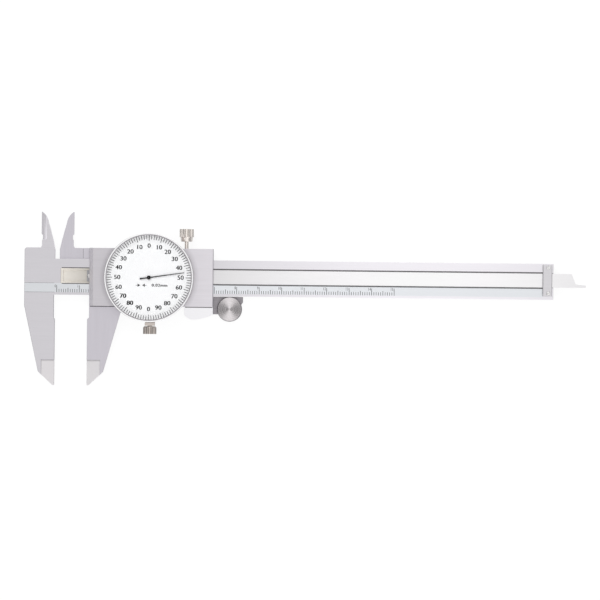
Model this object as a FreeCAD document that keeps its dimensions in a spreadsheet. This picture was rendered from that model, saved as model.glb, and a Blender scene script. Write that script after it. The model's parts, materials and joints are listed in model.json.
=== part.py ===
import FreeCAD, Part
import math
import os
import Sketcher

# A 150 mm dial caliper that lies flat with its dial up.
# +X runs along the beam to the depth bar's end, +Y towards the inside jaws, +Z out of the dial.
# The origin is the centre of the fixed jaw's flat measuring face.
# The pieces are drawn about the beam's centre line and moved to that origin as they are named.

SIZES = {
    # Beam
    "beam_length": 221.6,
    "beam_height": 16.0,
    "beam_thickness": 3.6,
    "edge_break": 0.25,
    "groove_width": 6.6,
    "groove_shift": 0.55,
    "groove_depth": 1.2,
    "groove_start": 2.6,
    "channel_width": 5.0,
    "channel_shift": 0.5,
    "channel_depth": 1.2,
    "channel_margin": 1.0,
    # Jaws, measured from the faces and from the beam's centre line
    "head_width": 13.6,
    "head_top": 12.9,
    "head_corner": 0.8,
    "face_relief": 0.5,
    "face_top": 18.8,
    "knife_start": 36.8,
    "jaw_shoulder": 42.2,
    "jaw_reach": 48.2,
    "jaw_shoulder_width": 7.2,
    "jaw_tip_width": 0.8,
    "knife_setback": 5.8,
    "knife_cut": 1.25,
    "knife_step": 0.44,
    "inside_edge": 6.2,
    "inside_reach": 28.9,
    "inside_shoulder": 24.2,
    "inside_shoulder_width": 3.2,
    "inside_flare": 16.5,
    "inside_flare_width": 5.3,
    "inside_tip_width": 0.25,
    "inside_notch": 18.4,
    "inside_notch_depth": 0.6,
    "inside_notch_length": 2.2,
    "inside_foot_depth": 0.24,
    "inside_fillet": 1.0,
    "inside_tip_radius": 7.0,
    "inside_bevel_width": 2.4,
    "inside_bevel_start": 16.8,
    "inside_bevel_depth": 1.0,
    "jaw_gap": 0.05,
    # Slider
    "rest_opening": 14.45,
    "slider_setback": 0.84,
    "slider_length": 55.1,
    "slider_top": 13.0,
    "slider_bottom": 12.8,
    "slider_bevel": 1.6,
    "moving_jaw_root": 14.7,
    "moving_jaw_blend": 3.0,
    "inside_root": 12.5,
    "slide_gap": 0.1,
    "web_thickness": 2.3,
    "rail_edge_gap": 0.05,
    "gib_thickness": 0.95,
    "gib_length": 48.0,
    "gib_start": 4.0,
    "gib_screw_inset": 8.7,
    "back_thickness": 1.0,
    "back_margin": 0.4,
    "plate_screw_inset": 3.5,
    "tab_start": 43.2,
    "tab_side": 3.6,
    "tab_drop": 5.7,
    "tab_corner": 4.4,
    "tab_corner_radius": 5.2,
    "tab_end_rise": 2.5,
    "tab_radius": 20.0,
    # Depth bar and end plate
    "bar_width": 6.2,
    "bar_thickness": 1.1,
    "bar_start": 22.5,
    "bar_pad_length": 11.0,
    "bar_pad_margin": 0.3,
    "bar_screw_inset": 3.0,
    "bar_tip_slope": 1.7,
    "bar_tongue_length": 4.6,
    "bar_tongue_width": 1.6,
    "bar_tongue_end": 1.1,
    "plate_width": 4.2,
    "plate_height": 14.1,
    "plate_thickness": 1.2,
    "plate_inset": 0.6,
    "plate_screw_spacing": 11.3,
    "plate_screw_place": 2.5,
    # Dial
    "dial_centre": 27.5,
    "bezel_radius": 19.85,
    "bezel_wall": 0.75,
    "bezel_lift": 2.0,
    "bezel_lip": 0.2,
    "bezel_ledge": 0.6,
    "bezel_flutes": 48,
    "flute_depth": 0.18,
    "housing_floor": 1.0,
    "housing_wall": 1.0,
    "housing_height": 4.85,
    "bezel_gap": 0.08,
    "face_lift": 0.38,
    "face_bore": 1.2,
    "face_thickness": 0.4,
    "crystal_rise": 1.1,
    "crystal_thickness": 0.9,
    "pointer_length": 15.8,
    "pointer_tail": 4.1,
    "pointer_tail_start": 2.45,
    "pointer_tail_neck": 1.85,
    "pointer_thickness": 0.15,
    "pointer_lift": 0.3,
    "pointer_width": 0.66,
    "pointer_tip_width": 0.16,
    "pointer_tail_width": 1.24,
    "pointer_hub_radius": 0.95,
    "pointer_angle": 8.4,
    # Gear train
    "pressure_angle": 25.0,
    "rack_pitch": 1.0,
    "rack_pinion_teeth": 10,
    "wheel_teeth": 60,
    "centre_pinion_teeth": 12,
    "wheel_module": 0.25,
    "tooth_play": 0.03,
    "arbor_radius": 0.6,
    "staff_radius": 1.0,
    "bush_radius": 1.6,
    "pinion_clearance": 0.8,
    "wheel_lift": 0.5,
    "wheel_thickness": 0.4,
    "take_up_thickness": 0.3,
    "take_up_spring": 0.25,
    "spring_radius": 5.0,
    "spring_width": 0.4,
    "spring_mouth": 35.0,
    "rack_start": 14.2,
    "rack_length": 163.0,
    "rack_tab": 2.1,
    "rack_thickness": 1.1,
    "running_gap": 0.03,
    "bridge_lift": 0.9,
    "bridge_thickness": 0.8,
    "bridge_margin": 2.2,
    "pillar_radius": 1.3,
    "pillar_reach": 10.5,
    "far_pillar": 6.3,
    "housing_screw_shift": 1.05,
    "far_housing_screw": 12.1,
    # Hand screws and roller
    "lock_place": 43.9,
    "lock_rise": 0.6,
    "lock_head_radius": 3.2,
    "lock_head_start": 18.2,
    "lock_head_length": 3.6,
    "lock_collar_radius": 2.75,
    "lock_collar_taper": 0.25,
    "lock_collar_length": 2.0,
    "lock_stem_radius": 0.87,
    "lock_tip_length": 0.8,
    "lock_play": 0.05,
    "clamp_offset": 0.6,
    "clamp_drop": 2.6,
    "clamp_head_radius": 3.0,
    "clamp_head_length": 3.0,
    "clamp_neck": 0.35,
    "clamp_collar": 0.4,
    "clamp_stem_radius": 1.0,
    "clamp_ear": 1.3,
    "clamp_ear_width": 4.4,
    "clamp_ear_height": 6.0,
    "clamp_foot_height": 1.8,
    "clamp_play": 0.1,
    "grip_flutes": 14,
    "grip_flute_depth": 0.35,
    "roller_radius": 5.65,
    "roller_place": 63.3,
    "roller_thickness": 3.4,
    "roller_flutes": 40,
    "roller_flute_depth": 0.12,
    "roller_lift": 0.3,
    "roller_face": 0.8,
    "roller_gap": 0.03,
    "roller_pin_radius": 1.0,
    "bracket_end": 69.2,
    "bracket_start": 36.0,
    "bracket_bottom": 16.0,
    "bracket_shoulder": 10.6,
    "bracket_screw_inset": 4.0,
    # Small screws
    "screw_radius": 0.6,
    "screw_head_radius": 1.1,
    "screw_head": 0.5,
    "end_screw_head_radius": 0.9,
    "thread_length": 2.2,
}

doc = FreeCAD.newDocument("dial_caliper")
sheet = doc.addObject("Spreadsheet::Sheet", "Dims")
for row, (alias, size) in enumerate(SIZES.items(), start=1):
    sheet.set(f"A{row}", alias)
    sheet.set(f"B{row}", str(size))
    sheet.setAlias(f"B{row}", alias)
doc.recompute()

Vector = FreeCAD.Vector
nodes = {}


class Size:
    """A length written as a formula over the sheet's cells, which the pieces are bound to."""

    def __init__(self, formula):
        self.formula = formula

    def __add__(self, other):
        return Size(f"({self.formula} + {formula_of(other)})")

    def __radd__(self, other):
        return Size(f"({formula_of(other)} + {self.formula})")

    def __sub__(self, other):
        return Size(f"({self.formula} - {formula_of(other)})")

    def __rsub__(self, other):
        return Size(f"({formula_of(other)} - {self.formula})")

    def __mul__(self, factor):
        return Size(f"({self.formula} * {formula_of(factor)})")

    def __truediv__(self, factor):
        return Size(f"({self.formula} / {formula_of(factor)})")

    def __neg__(self):
        return Size(f"(0 - {self.formula})")


class Sheet:
    """Gives each cell of the sheet as a Size, by its alias."""

    def __getattr__(self, alias):
        if alias not in SIZES:
            raise AttributeError(f"the sheet has no size called {alias}")
        return Size(f"Dims.{alias}")


def formula_of(size):
    return size.formula if isinstance(size, Size) else str(size)


def number(size):
    """The value of a size in millimetres."""
    return float(sheet.evalExpression(formula_of(size)))


def bind(thing, prop, size):
    thing.setExpression(prop, formula_of(size))


def place(thing, x=0, y=0, z=0):
    for axis, size in (("x", x), ("y", y), ("z", z)):
        bind(thing, f"Placement.Base.{axis}", size)
    return thing


d = Sheet()
half_height = d.beam_height / 2
half_thickness = d.beam_thickness / 2
datum = (d.face_top + d.knife_start) / 2
slide_x = d.rest_opening + d.slider_setback
slider_end = slide_x + d.slider_length
dial_x = d.rest_opening + d.dial_centre
web_bottom = half_thickness + d.slide_gap
web_top = web_bottom + d.web_thickness
back_top = -web_bottom
back_bottom = back_top - d.back_thickness
groove_floor = half_thickness - d.groove_depth
channel_floor = groove_floor - d.channel_depth
rim_top = web_top + d.housing_height
floor_top = web_top + d.housing_floor
bezel_inner = d.bezel_radius - d.bezel_wall
bezel_bore = bezel_inner - d.bezel_ledge
housing_radius = bezel_bore - d.bezel_gap
face_bottom = rim_top + d.face_lift
face_top_z = face_bottom + d.face_thickness
crystal_bottom = face_top_z + d.crystal_rise
ALONG_Y = FreeCAD.Rotation(Vector(1, 0, 0), -90)
AGAINST_Y = FreeCAD.Rotation(Vector(1, 0, 0), 90)
# A shape that cuts reaches this far past what it cuts
past = 1
# Small screws, bushes and holes are prisms with this many sides
SHANK_SIDES = 8
HEAD_SIDES = 12
HEX = 6
# Tooth heights above and below the pitch line, as shares of the module
RACK_ADDENDUM = 0.85
WHEEL_ADDENDUM = 0.87
WHEEL_DEDENDUM = 1.1
# Two places nearer than this are the same place
NEAR = 0.01


def name_node(label, thing, x=0, y=0, z=0):
    """Names a finished piece, and moves it from the beam's centre line to the part's origin."""
    doc.recompute()
    thing.Label = label
    place(thing, x, datum + y, z)
    nodes[label] = thing
    return thing


def block(name, x, y, z):
    """A block between two places on each axis."""
    box = doc.addObject("Part::Box", name)
    for prop, (low, high) in (("Length", x), ("Width", y), ("Height", z)):
        bind(box, prop, high - low)
    return place(box, x[0], y[0], z[0])


def rod(name, radius, span, x=0, y=0):
    """An upright cylinder between two heights."""
    cylinder = doc.addObject("Part::Cylinder", name)
    bind(cylinder, "Radius", radius)
    bind(cylinder, "Height", span[1] - span[0])
    return place(cylinder, x, y, span[0])


def prism(name, sides, radius, span, x=0, y=0):
    """An upright prism between two heights, with its corners at a radius."""
    bar = doc.addObject("Part::Prism", name)
    bar.Polygon = sides
    bind(bar, "Circumradius", radius)
    bind(bar, "Height", span[1] - span[0])
    return place(bar, x, y, span[0])


def prism_along_y(name, radius, span, x=0, z=0, sides=SHANK_SIDES):
    """A prism along +Y between two places."""
    bar = prism(name, sides, radius, span, x)
    bar.Placement.Rotation = ALONG_Y
    return place(bar, x, span[0], z)


def fuse(name, pieces):
    union = doc.addObject("Part::MultiFuse", name)
    union.Shapes = pieces
    union.Refine = True
    return union


def gather(name, pieces):
    """Separate solids that share one node."""
    group = doc.addObject("Part::Compound", name)
    group.Links = pieces
    return group


def cut(name, base, tools):
    tool = tools[0] if len(tools) == 1 else fuse(f"{name}_tools", tools)
    result = doc.addObject("Part::Cut", name)
    result.Base = base
    result.Tool = tool
    result.Refine = True
    return result


def draw(owner, plane, lift, outline):
    """A closed sketch whose corners are bound to the sheet.

    A corner is (x, y), or (x, y, radius, side) where an arc runs on to the next corner:
    side is 1 when the arc turns left on its way, and -1 when it turns right.
    """
    sketch = owner.newObject("Sketcher::SketchObject", f"{owner.Name}_sketch")
    origin_plane = [f for f in owner.Origin.OriginFeatures if f.Role == plane][0]
    sketch.AttachmentSupport = [(origin_plane, "")]
    sketch.MapMode = "FlatFace"
    bind(sketch, "AttachmentOffset.Base.z", lift)
    corners = [Vector(number(c[0]), number(c[1]), 0) for c in outline]
    count = len(corners)
    begins, ends = [], []
    for i, corner in enumerate(outline):
        start, end = corners[i], corners[(i + 1) % count]
        if len(corner) == 2:
            sketch.addGeometry(Part.LineSegment(start, end), False)
            begins.append(1)
            ends.append(2)
            continue
        radius, side = number(corner[2]), corner[3]
        chord = end - start
        across = Vector(-chord.y, chord.x, 0).normalize() * side
        centre = (start + end) * 0.5 + across * math.sqrt(radius**2 - chord.Length**2 / 4)
        first, last = (start, end) if side > 0 else (end, start)
        angles = [math.atan2(p.y - centre.y, p.x - centre.x) for p in (first, last)]
        if angles[1] < angles[0]:
            angles[1] += 2 * math.pi
        circle = Part.Circle(centre, Vector(0, 0, 1), radius)
        sketch.addGeometry(Part.ArcOfCircle(circle, *angles), False)
        begins.append(1 if side > 0 else 2)
        ends.append(2 if side > 0 else 1)
    for i in range(count):
        follow = (i + 1) % count
        sketch.addConstraint(Sketcher.Constraint("Coincident", i, ends[i], follow, begins[follow]))
    for i, corner in enumerate(outline):
        at = corners[i]
        for kind, size, value in (("DistanceX", corner[0], at.x), ("DistanceY", corner[1], at.y)):
            index = sketch.addConstraint(Sketcher.Constraint(kind, -1, 1, i, begins[i], value))
            bind(sketch, f"Constraints[{index}]", size)
        if len(corner) > 2:
            index = sketch.addConstraint(Sketcher.Constraint("Radius", i, number(corner[2])))
            bind(sketch, f"Constraints[{index}]", corner[2])
    return sketch


def plate(name, outline, span):
    """A flat piece of any outline between two heights."""
    owner = doc.addObject("PartDesign::Body", name)
    sketch = draw(owner, "XY_Plane", span[0], outline)
    pad = owner.newObject("PartDesign::Pad", f"{name}_pad")
    pad.Profile = sketch
    bind(pad, "Length", span[1] - span[0])
    return owner


def turned(name, profile):
    """A turned piece about its own upright axis, from (radius, height) corners."""
    owner = doc.addObject("PartDesign::Body", name)
    sketch = draw(owner, "XZ_Plane", 0, profile)
    spin = owner.newObject("PartDesign::Revolution", f"{name}_turn")
    spin.Profile = sketch
    spin.ReferenceAxis = (sketch, ["V_Axis"])
    spin.Angle = 360
    return owner


def ease_edges(owner, size, chosen, kind="Chamfer"):
    """Breaks or rounds the edges of a body that the test picks."""
    doc.recompute()
    tip = owner.Tip
    names = [f"Edge{i}" for i, edge in enumerate(tip.Shape.Edges, start=1) if chosen(edge)]
    eased = owner.newObject(f"PartDesign::{kind}", f"{owner.Name}_{kind.lower()}")
    eased.Base = (tip, names)
    bind(eased, "Size" if kind == "Chamfer" else "Radius", size)
    return owner


def rectangle(x, y):
    return [(x[0], y[0]), (x[1], y[0]), (x[1], y[1]), (x[0], y[1])]


def extruded(points, span, x=0.0, y=0.0):
    """A solid of a worked-out outline between two heights."""
    low, high = number(span[0]), number(span[1])
    corners = [Vector(x + px, y + py, low) for px, py in points]
    wire = Part.makePolygon(corners + corners[:1])
    return Part.Face(wire).extrude(Vector(0, 0, high - low))


def shaped(name, shape):
    feature = doc.addObject("Part::Feature", name)
    feature.Shape = shape
    return feature


def fluted_ring(radius, depth, flutes, land=0.0):
    """The outline of a fluted rim: V flutes, with a flat land between them for a share of each step."""
    rim, root, step = number(radius), number(radius - depth), 2 * math.pi / number(flutes)
    crests = (0.5 - land / 2, 0.5 + land / 2) if land else (0.5,)
    outline = []
    for i in range(int(number(flutes))):
        outline.append((root * math.cos(i * step), root * math.sin(i * step)))
        for share in crests:
            angle = (i + share) * step
            outline.append((rim * math.cos(angle), rim * math.sin(angle)))
    return outline


def screws(label, places, head, shank, head_radius=d.screw_head_radius, sides=HEAD_SIDES):
    """Upright screws in one node: head and shank are each a (lower, upper) height."""
    made = []
    for i, (x, y) in enumerate(places, start=1):
        top = prism(f"{label}_head_{i}", sides, head_radius, head, x, y)
        stem = prism(f"{label}_shank_{i}", SHANK_SIDES, d.screw_radius, shank, x, y)
        made.append(fuse(f"{label}_{i}", [top, stem]))
    return gather(label, made)


def holes(name, places, span, radius=d.screw_radius, sides=SHANK_SIDES):
    """Holes for screws, each with the running gap all round."""
    wide = radius + d.running_gap
    return [prism(f"{name}_{i}", sides, wide, span, x, y) for i, (x, y) in enumerate(places, start=1)]


def sinks(name, places, span, radius=d.screw_head_radius):
    """Flat recesses for screw heads."""
    return holes(name, places, span, radius, HEAD_SIDES)


# Places that more than one piece uses
arbor_y = 0
pinion_pitch_radius = d.rack_pitch * d.rack_pinion_teeth / (2 * math.pi)
wheel_pitch_radius = d.wheel_module * d.wheel_teeth / 2
centre_pitch_radius = d.wheel_module * d.centre_pinion_teeth / 2
arbor_x = dial_x - wheel_pitch_radius - centre_pitch_radius
groove = (d.groove_shift - d.groove_width / 2, d.groove_shift + d.groove_width / 2)
channel = (d.channel_shift - d.channel_width / 2, d.channel_shift + d.channel_width / 2)
rack_end = d.rack_start + d.rack_length
rack_screw_places = [
    (d.rack_start + d.rack_tab / 2, d.channel_shift),
    (rack_end - d.rack_tab / 2, d.channel_shift),
]
plate_x = (d.beam_length - d.plate_inset - d.plate_width, d.beam_length - d.plate_inset)
plate_screw_x = plate_x[0] + d.plate_screw_place
plate_screw_places = [
    (plate_screw_x, d.groove_shift - d.plate_screw_spacing / 2),
    (plate_screw_x, d.groove_shift + d.plate_screw_spacing / 2),
]
bar_x = d.rest_opening + d.bar_start
bar_screw_places = [
    (bar_x + d.bar_screw_inset, d.groove_shift),
    (bar_x + d.bar_pad_length - d.bar_screw_inset, d.groove_shift),
]
lower_rail = (-d.slider_bottom, -(half_height + d.rail_edge_gap))
gib_y = (half_height + d.rail_edge_gap, half_height + d.rail_edge_gap + d.gib_thickness)
upper_rail = (gib_y[1] + d.rail_edge_gap, d.slider_top)
back_screw_y = (upper_rail[0] + upper_rail[1]) / 2
bracket_x = d.rest_opening + d.bracket_start
rail_middle = (lower_rail[0] + lower_rail[1]) / 2
back_screw_places = [
    (slide_x + d.plate_screw_inset, back_screw_y),
    (slider_end - d.plate_screw_inset, back_screw_y),
    (slide_x + d.plate_screw_inset, rail_middle),
    (bracket_x - d.bracket_screw_inset, rail_middle),
]
bracket_screw_places = [
    (bracket_x + d.bracket_screw_inset, rail_middle),
    (slider_end - d.bracket_screw_inset, rail_middle),
]
far_pillar_x = dial_x + d.far_pillar
pillar_places = [(arbor_x, d.pillar_reach), (arbor_x, -d.pillar_reach), (far_pillar_x, 0)]
housing_screw_places = [
    (dial_x - d.housing_screw_shift, d.pillar_reach),
    (dial_x - d.housing_screw_shift, -d.pillar_reach),
    (dial_x + d.far_housing_screw, 0),
]
gib_screw_places = [slide_x + d.gib_screw_inset, slider_end - d.gib_screw_inset]
rack_thread_end = -half_thickness + d.edge_break
back_thread_end = web_bottom - d.edge_break
housing_thread_end = web_bottom + d.edge_break
back_sink_top = back_bottom + d.screw_head
lock_x = d.rest_opening + d.lock_place
clamp_x = dial_x + d.clamp_offset
roller_x = d.rest_opening + d.roller_place
roller_y = -(half_height + d.roller_gap + d.roller_radius)


def outside_jaw(side, face, root_width, root_y):
    """An outside jaw's outer edge from root to tip: side is -1 for the fixed jaw and 1 for the moving one."""
    return [
        (face + root_width * side, root_y),
        (face + d.jaw_shoulder_width * side, -d.jaw_shoulder),
        (face + d.jaw_tip_width * side, -d.jaw_reach),
        (face, -d.jaw_reach),
    ]


def inside_jaw(side, edge, root, low):
    """The inside jaw from its root up its back to the tip and down its measuring edge."""
    notch = edge + d.inside_notch_depth * side
    foot = edge + d.inside_foot_depth * side
    notch_end = d.inside_notch - d.inside_notch_length
    return [
        (root, low),
        (root, d.head_top - d.head_corner),
        (edge + d.inside_flare_width * side, d.inside_flare),
        (edge + d.inside_shoulder_width * side, d.inside_shoulder, d.inside_tip_radius, side),
        (edge + d.inside_tip_width * side, d.inside_reach),
        (edge, d.inside_reach - d.inside_tip_width / 2),
        (edge, d.inside_notch + d.inside_notch_depth),
        (notch, d.inside_notch),
        (notch, notch_end + d.inside_notch_depth),
        (foot, notch_end),
        (foot, d.head_top + d.inside_fillet),
    ]


def wedge(name, profile, begin, length):
    """A prism of an (x, z) profile that runs from y = -begin towards -Y."""
    owner = doc.addObject("PartDesign::Body", name)
    sketch = draw(owner, "XZ_Plane", begin, profile)
    pad = owner.newObject("PartDesign::Pad", f"{name}_pad")
    pad.Profile = sketch
    bind(pad, "Length", length)
    return owner


def knife_cuts(name, face, side):
    """The two wedges that thin an outside jaw to its knife edge, one on each side of it."""
    made = []
    for word, sign in (("front", 1), ("back", -1)):
        surface = half_thickness * sign
        inner = face + d.knife_setback * side
        profile = [
            (face - past * side, (half_thickness - d.knife_cut) * sign),
            (inner, surface - d.knife_step * sign),
            (inner, surface + past * sign),
            (face - past * side, surface + past * sign),
        ]
        made.append(wedge(f"{name}_{word}", profile, d.knife_start, d.jaw_reach - d.knife_start + past))
    return made


def make_beam():
    """The beam, its head and the two fixed jaws, ground from one bar."""
    edge = -d.inside_edge
    outline = outside_jaw(-1, 0, d.head_width, -d.slider_bottom)
    outline += [
        (0, -d.face_top),
        (-d.face_relief, -(d.face_top - d.face_relief)),
        (-d.face_relief, -half_height),
        (d.beam_length, -half_height),
        (d.beam_length, half_height),
        (-d.head_width, half_height),
    ]
    bar = plate("bar", outline, (-half_thickness, half_thickness))
    upper = inside_jaw(1, edge, 0, half_height - past)
    upper += [
        (edge - d.inside_tip_width, d.head_top),
        (-(d.head_width - d.head_corner), d.head_top),
        (-d.head_width, d.head_top - d.head_corner),
        (-d.head_width, half_height - past),
    ]
    head = plate("head", upper, (0, half_thickness))
    groove_cut = block(
        "groove_cut", (d.groove_start, d.beam_length + past), groove, (groove_floor, half_thickness + past)
    )
    channel_cut = block(
        "channel_cut",
        (d.groove_start + d.channel_margin, rack_end + d.channel_margin * 2),
        channel,
        (channel_floor, groove_floor + past),
    )
    bevel_profile = [
        (edge, half_thickness - d.inside_bevel_depth),
        (edge + d.inside_bevel_width, half_thickness),
        (edge + d.inside_bevel_width, half_thickness + past),
        (edge - past, half_thickness + past),
        (edge - past, half_thickness - d.inside_bevel_depth),
    ]
    top = d.inside_reach + past
    bevel = wedge("inside_bevel_cut", bevel_profile, -top, top - d.inside_bevel_start)
    rack_holes = holes("rack_hole", rack_screw_places, (rack_thread_end - d.running_gap, groove_floor))
    end_span = (half_thickness - d.thread_length - d.running_gap, half_thickness + past)
    end_holes = holes("end_hole", plate_screw_places, end_span)
    tools = [groove_cut, channel_cut, bevel] + rack_holes + end_holes + knife_cuts("fixed_knife", 0, -1)
    name_node("beam", cut("beam_body", fuse("beam_blank", [bar, head]), tools))


def rack_outline():
    """The rack with its teeth towards -Y, V roots between them, and a full-width tab at each end."""
    pitch = number(d.rack_pitch)
    slope = math.tan(math.radians(number(d.pressure_angle)))
    pitch_y = arbor_y + number(pinion_pitch_radius)
    addendum = RACK_ADDENDUM * pitch / math.pi
    half = pitch / 4 - number(d.tooth_play) / 2
    half_tip = half - addendum * slope
    tip_y, root_y = pitch_y - addendum, pitch_y + (pitch / 2 - half) / slope
    left, right = number(d.rack_start), number(rack_end)
    tab, play = number(d.rack_tab), number(d.running_gap)
    low, high = number(channel[0]) + play, number(channel[1]) - play
    start = number(arbor_x)
    first = math.ceil((left + tab - start) / pitch + 0.5)
    last = math.floor((right - tab - start) / pitch - 0.5)
    outline = [(left, low), (left + tab, low), (left + tab, root_y)]
    for i in range(first, last + 1):
        centre = start + i * pitch
        outline += [(centre - pitch / 2, root_y), (centre - half_tip, tip_y), (centre + half_tip, tip_y)]
    outline += [(start + (last + 0.5) * pitch, root_y), (right - tab, root_y)]
    outline += [(right - tab, low), (right, low), (right, high), (left, high)]
    return outline


def make_rack():
    top = channel_floor + d.rack_thickness
    seat = top - d.screw_head
    strip = shaped("rack_strip", extruded(rack_outline(), (channel_floor, top)))
    cuts = holes("rack_shank", rack_screw_places, (channel_floor - past, top + past))
    cuts += sinks("rack_sink", rack_screw_places, (seat, top + past), d.end_screw_head_radius)
    name_node("rack", cut("rack_body", strip, cuts))
    shank = (rack_thread_end, seat)
    pair = screws("rack_screws", rack_screw_places, (seat, top), shank, d.end_screw_head_radius)
    name_node("rack_screws", pair)


def make_end_plate():
    """The small plate across the beam's end that keeps the depth bar in its groove."""
    middle = d.groove_shift
    top = half_thickness + d.plate_thickness
    seat = top - d.screw_head
    outline = rectangle(plate_x, (middle - d.plate_height / 2, middle + d.plate_height / 2))
    blank = plate("end_plate_blank", outline, (half_thickness, top))
    ease_edges(blank, d.edge_break, lambda e: e.BoundBox.ZMin > number(top) - NEAR)
    cuts = holes("end_plate_hole", plate_screw_places, (half_thickness - past, top + past))
    cuts += sinks("end_plate_sink", plate_screw_places, (seat, top + past), d.end_screw_head_radius)
    name_node("end_plate", cut("end_plate_body", blank, cuts))
    shank = (half_thickness - d.thread_length, seat)
    pair = screws("end_plate_screws", plate_screw_places, (seat, top), shank, d.end_screw_head_radius)
    name_node("end_plate_screws", pair)


def make_slider_frame():
    """The slider: a channel over the beam, in one piece with the two moving jaws."""
    face = d.rest_opening
    outline = outside_jaw(1, face, d.moving_jaw_root, -(d.slider_bottom + d.moving_jaw_blend))
    outline += [
        (face, -d.face_top),
        (slide_x, -(d.face_top - d.slider_setback)),
        (slide_x, lower_rail[1]),
        (slider_end, lower_rail[1]),
        (slider_end, lower_rail[0]),
        (face + d.moving_jaw_root + d.moving_jaw_blend, lower_rail[0]),
    ]
    jaw = plate("moving_jaw", outline, (-half_thickness, half_thickness))
    edge = face - d.inside_edge
    upper = inside_jaw(-1, edge, face - d.inside_root, gib_y[0])
    upper += [
        (edge + d.inside_tip_width, d.head_top),
        (slide_x + d.slider_bevel, d.head_top),
        (slide_x + d.slider_bevel, gib_y[0]),
    ]
    inner = plate("moving_inside_jaw", upper, (-half_thickness, -d.jaw_gap))
    web = plate(
        "web", rectangle((slide_x, slider_end), (-d.slider_bottom, d.slider_top)), (web_bottom, web_top)
    )
    top, left = number(web_top) - NEAR, number(slide_x) + NEAR
    ease_edges(web, d.slider_bevel, lambda e: e.BoundBox.ZMin > top and e.BoundBox.XMax < left)
    right = number(slide_x + d.slider_bevel) + NEAR
    ease_edges(web, d.edge_break, lambda e: e.BoundBox.ZMin > top and e.BoundBox.XMin > right)
    lower = block("lower_rail", (slide_x, slider_end), lower_rail, (back_top, web_bottom))
    high = block("upper_rail", (slide_x, slider_end), upper_rail, (back_top, web_bottom))
    tab_x = face + d.tab_start
    tab_low = -(d.slider_bottom + d.tab_drop)
    tab = plate(
        "thumb_tab",
        [
            (tab_x, -d.slider_bottom + past),
            (tab_x, -(d.slider_bottom + d.tab_side), d.tab_corner_radius, 1),
            (tab_x + d.tab_corner, tab_low, d.tab_radius, 1),
            (slider_end, tab_low + d.tab_end_rise),
            (slider_end, -d.slider_bottom + past),
        ],
        (back_top, web_top - d.edge_break),
    )
    through = (web_bottom - past, web_top + past)
    window_radius = pinion_pitch_radius + d.pinion_clearance
    window = prism("pinion_window", HEAD_SIDES, window_radius, through, arbor_x, arbor_y)
    rail_span = (upper_rail[0] - past, upper_rail[1] + past)
    lock_bore = d.lock_stem_radius + d.running_gap * 2
    lock_hole = prism_along_y("lock_hole", lock_bore, rail_span, lock_x, d.lock_rise, HEAD_SIDES)
    gib_holes = [
        prism_along_y(f"gib_hole_{i}", d.screw_radius + d.running_gap, rail_span, x)
        for i, x in enumerate(gib_screw_places, start=1)
    ]
    tools = [window, lock_hole] + gib_holes + knife_cuts("moving_knife", face, 1)
    tools += holes("back_hole", back_screw_places + bracket_screw_places, (back_top - past, back_thread_end))
    tools += holes("housing_hole", housing_screw_places, (housing_thread_end, web_top + past))
    tools += holes("bar_hole", bar_screw_places, through)
    tools += sinks("bar_sink", bar_screw_places, (web_top - d.screw_head, web_top + past))
    blank = fuse("slider_blank", [jaw, inner, web, lower, high, tab])
    name_node("slider_frame", cut("slider_body", blank, tools))


def make_slider_fittings():
    """What the slider carries about the beam: the gib, the back plate and their screws."""
    gib_x = (d.rest_opening + d.gib_start, d.rest_opening + d.gib_start + d.gib_length)
    gib_z = (-(half_thickness - d.slide_gap), half_thickness - d.slide_gap)
    name_node("gib_strip", block("gib_body", gib_x, gib_y, gib_z), gib_x[0], gib_y[0], gib_z[0])
    span = (gib_y[1], d.slider_top - d.edge_break)
    pair = []
    for i, x in enumerate(gib_screw_places, start=1):
        pair.append(prism_along_y(f"gib_screw_{i}", d.screw_radius, span, x))
    name_node("gib_screws", gather("gib_screw_pair", pair))

    plate_span = (back_bottom, back_top)
    through = (back_bottom - past, back_top + past)
    sink = (back_bottom - past, back_sink_top)
    head, shank = (back_bottom, back_sink_top), (back_sink_top, back_thread_end - d.running_gap)
    bracket_top = lower_rail[1] - d.slide_gap
    left, top = slide_x + d.back_margin, d.slider_top - d.back_margin
    low = lower_rail[0] + d.back_margin
    outline = [
        (left, low),
        (bracket_x - d.slide_gap, low),
        (bracket_x - d.slide_gap, bracket_top + d.slide_gap),
        (slider_end, bracket_top + d.slide_gap),
        (slider_end, top),
        (left, top),
    ]
    blank = plate("back_plate_blank", outline, plate_span)
    cuts = holes("back_plate_hole", back_screw_places, through) + sinks("back_sink", back_screw_places, sink)
    name_node("back_plate", cut("back_plate_body", blank, cuts))
    name_node("back_plate_screws", screws("back_plate_screws", back_screw_places, head, shank))

    end = d.rest_opening + d.bracket_end
    bottom = -d.bracket_bottom
    outline = [
        (bracket_x, low),
        (slider_end - d.bracket_screw_inset / 2, low),
        (slider_end, bottom),
        (roller_x + d.roller_pin_radius * 2, bottom),
        (end, -d.bracket_shoulder),
        (end, bracket_top),
        (bracket_x, bracket_top),
    ]
    blank = plate("bracket_blank", outline, plate_span)
    cuts = holes("bracket_hole", bracket_screw_places, through)
    cuts += sinks("bracket_sink", bracket_screw_places, sink)
    cuts += sinks("roller_pin_hole", [(roller_x, roller_y)], through, d.roller_pin_radius + d.running_gap)
    name_node("roller_bracket", cut("bracket_body", blank, cuts))
    name_node("bracket_screws", screws("bracket_screws", bracket_screw_places, head, shank))


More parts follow.
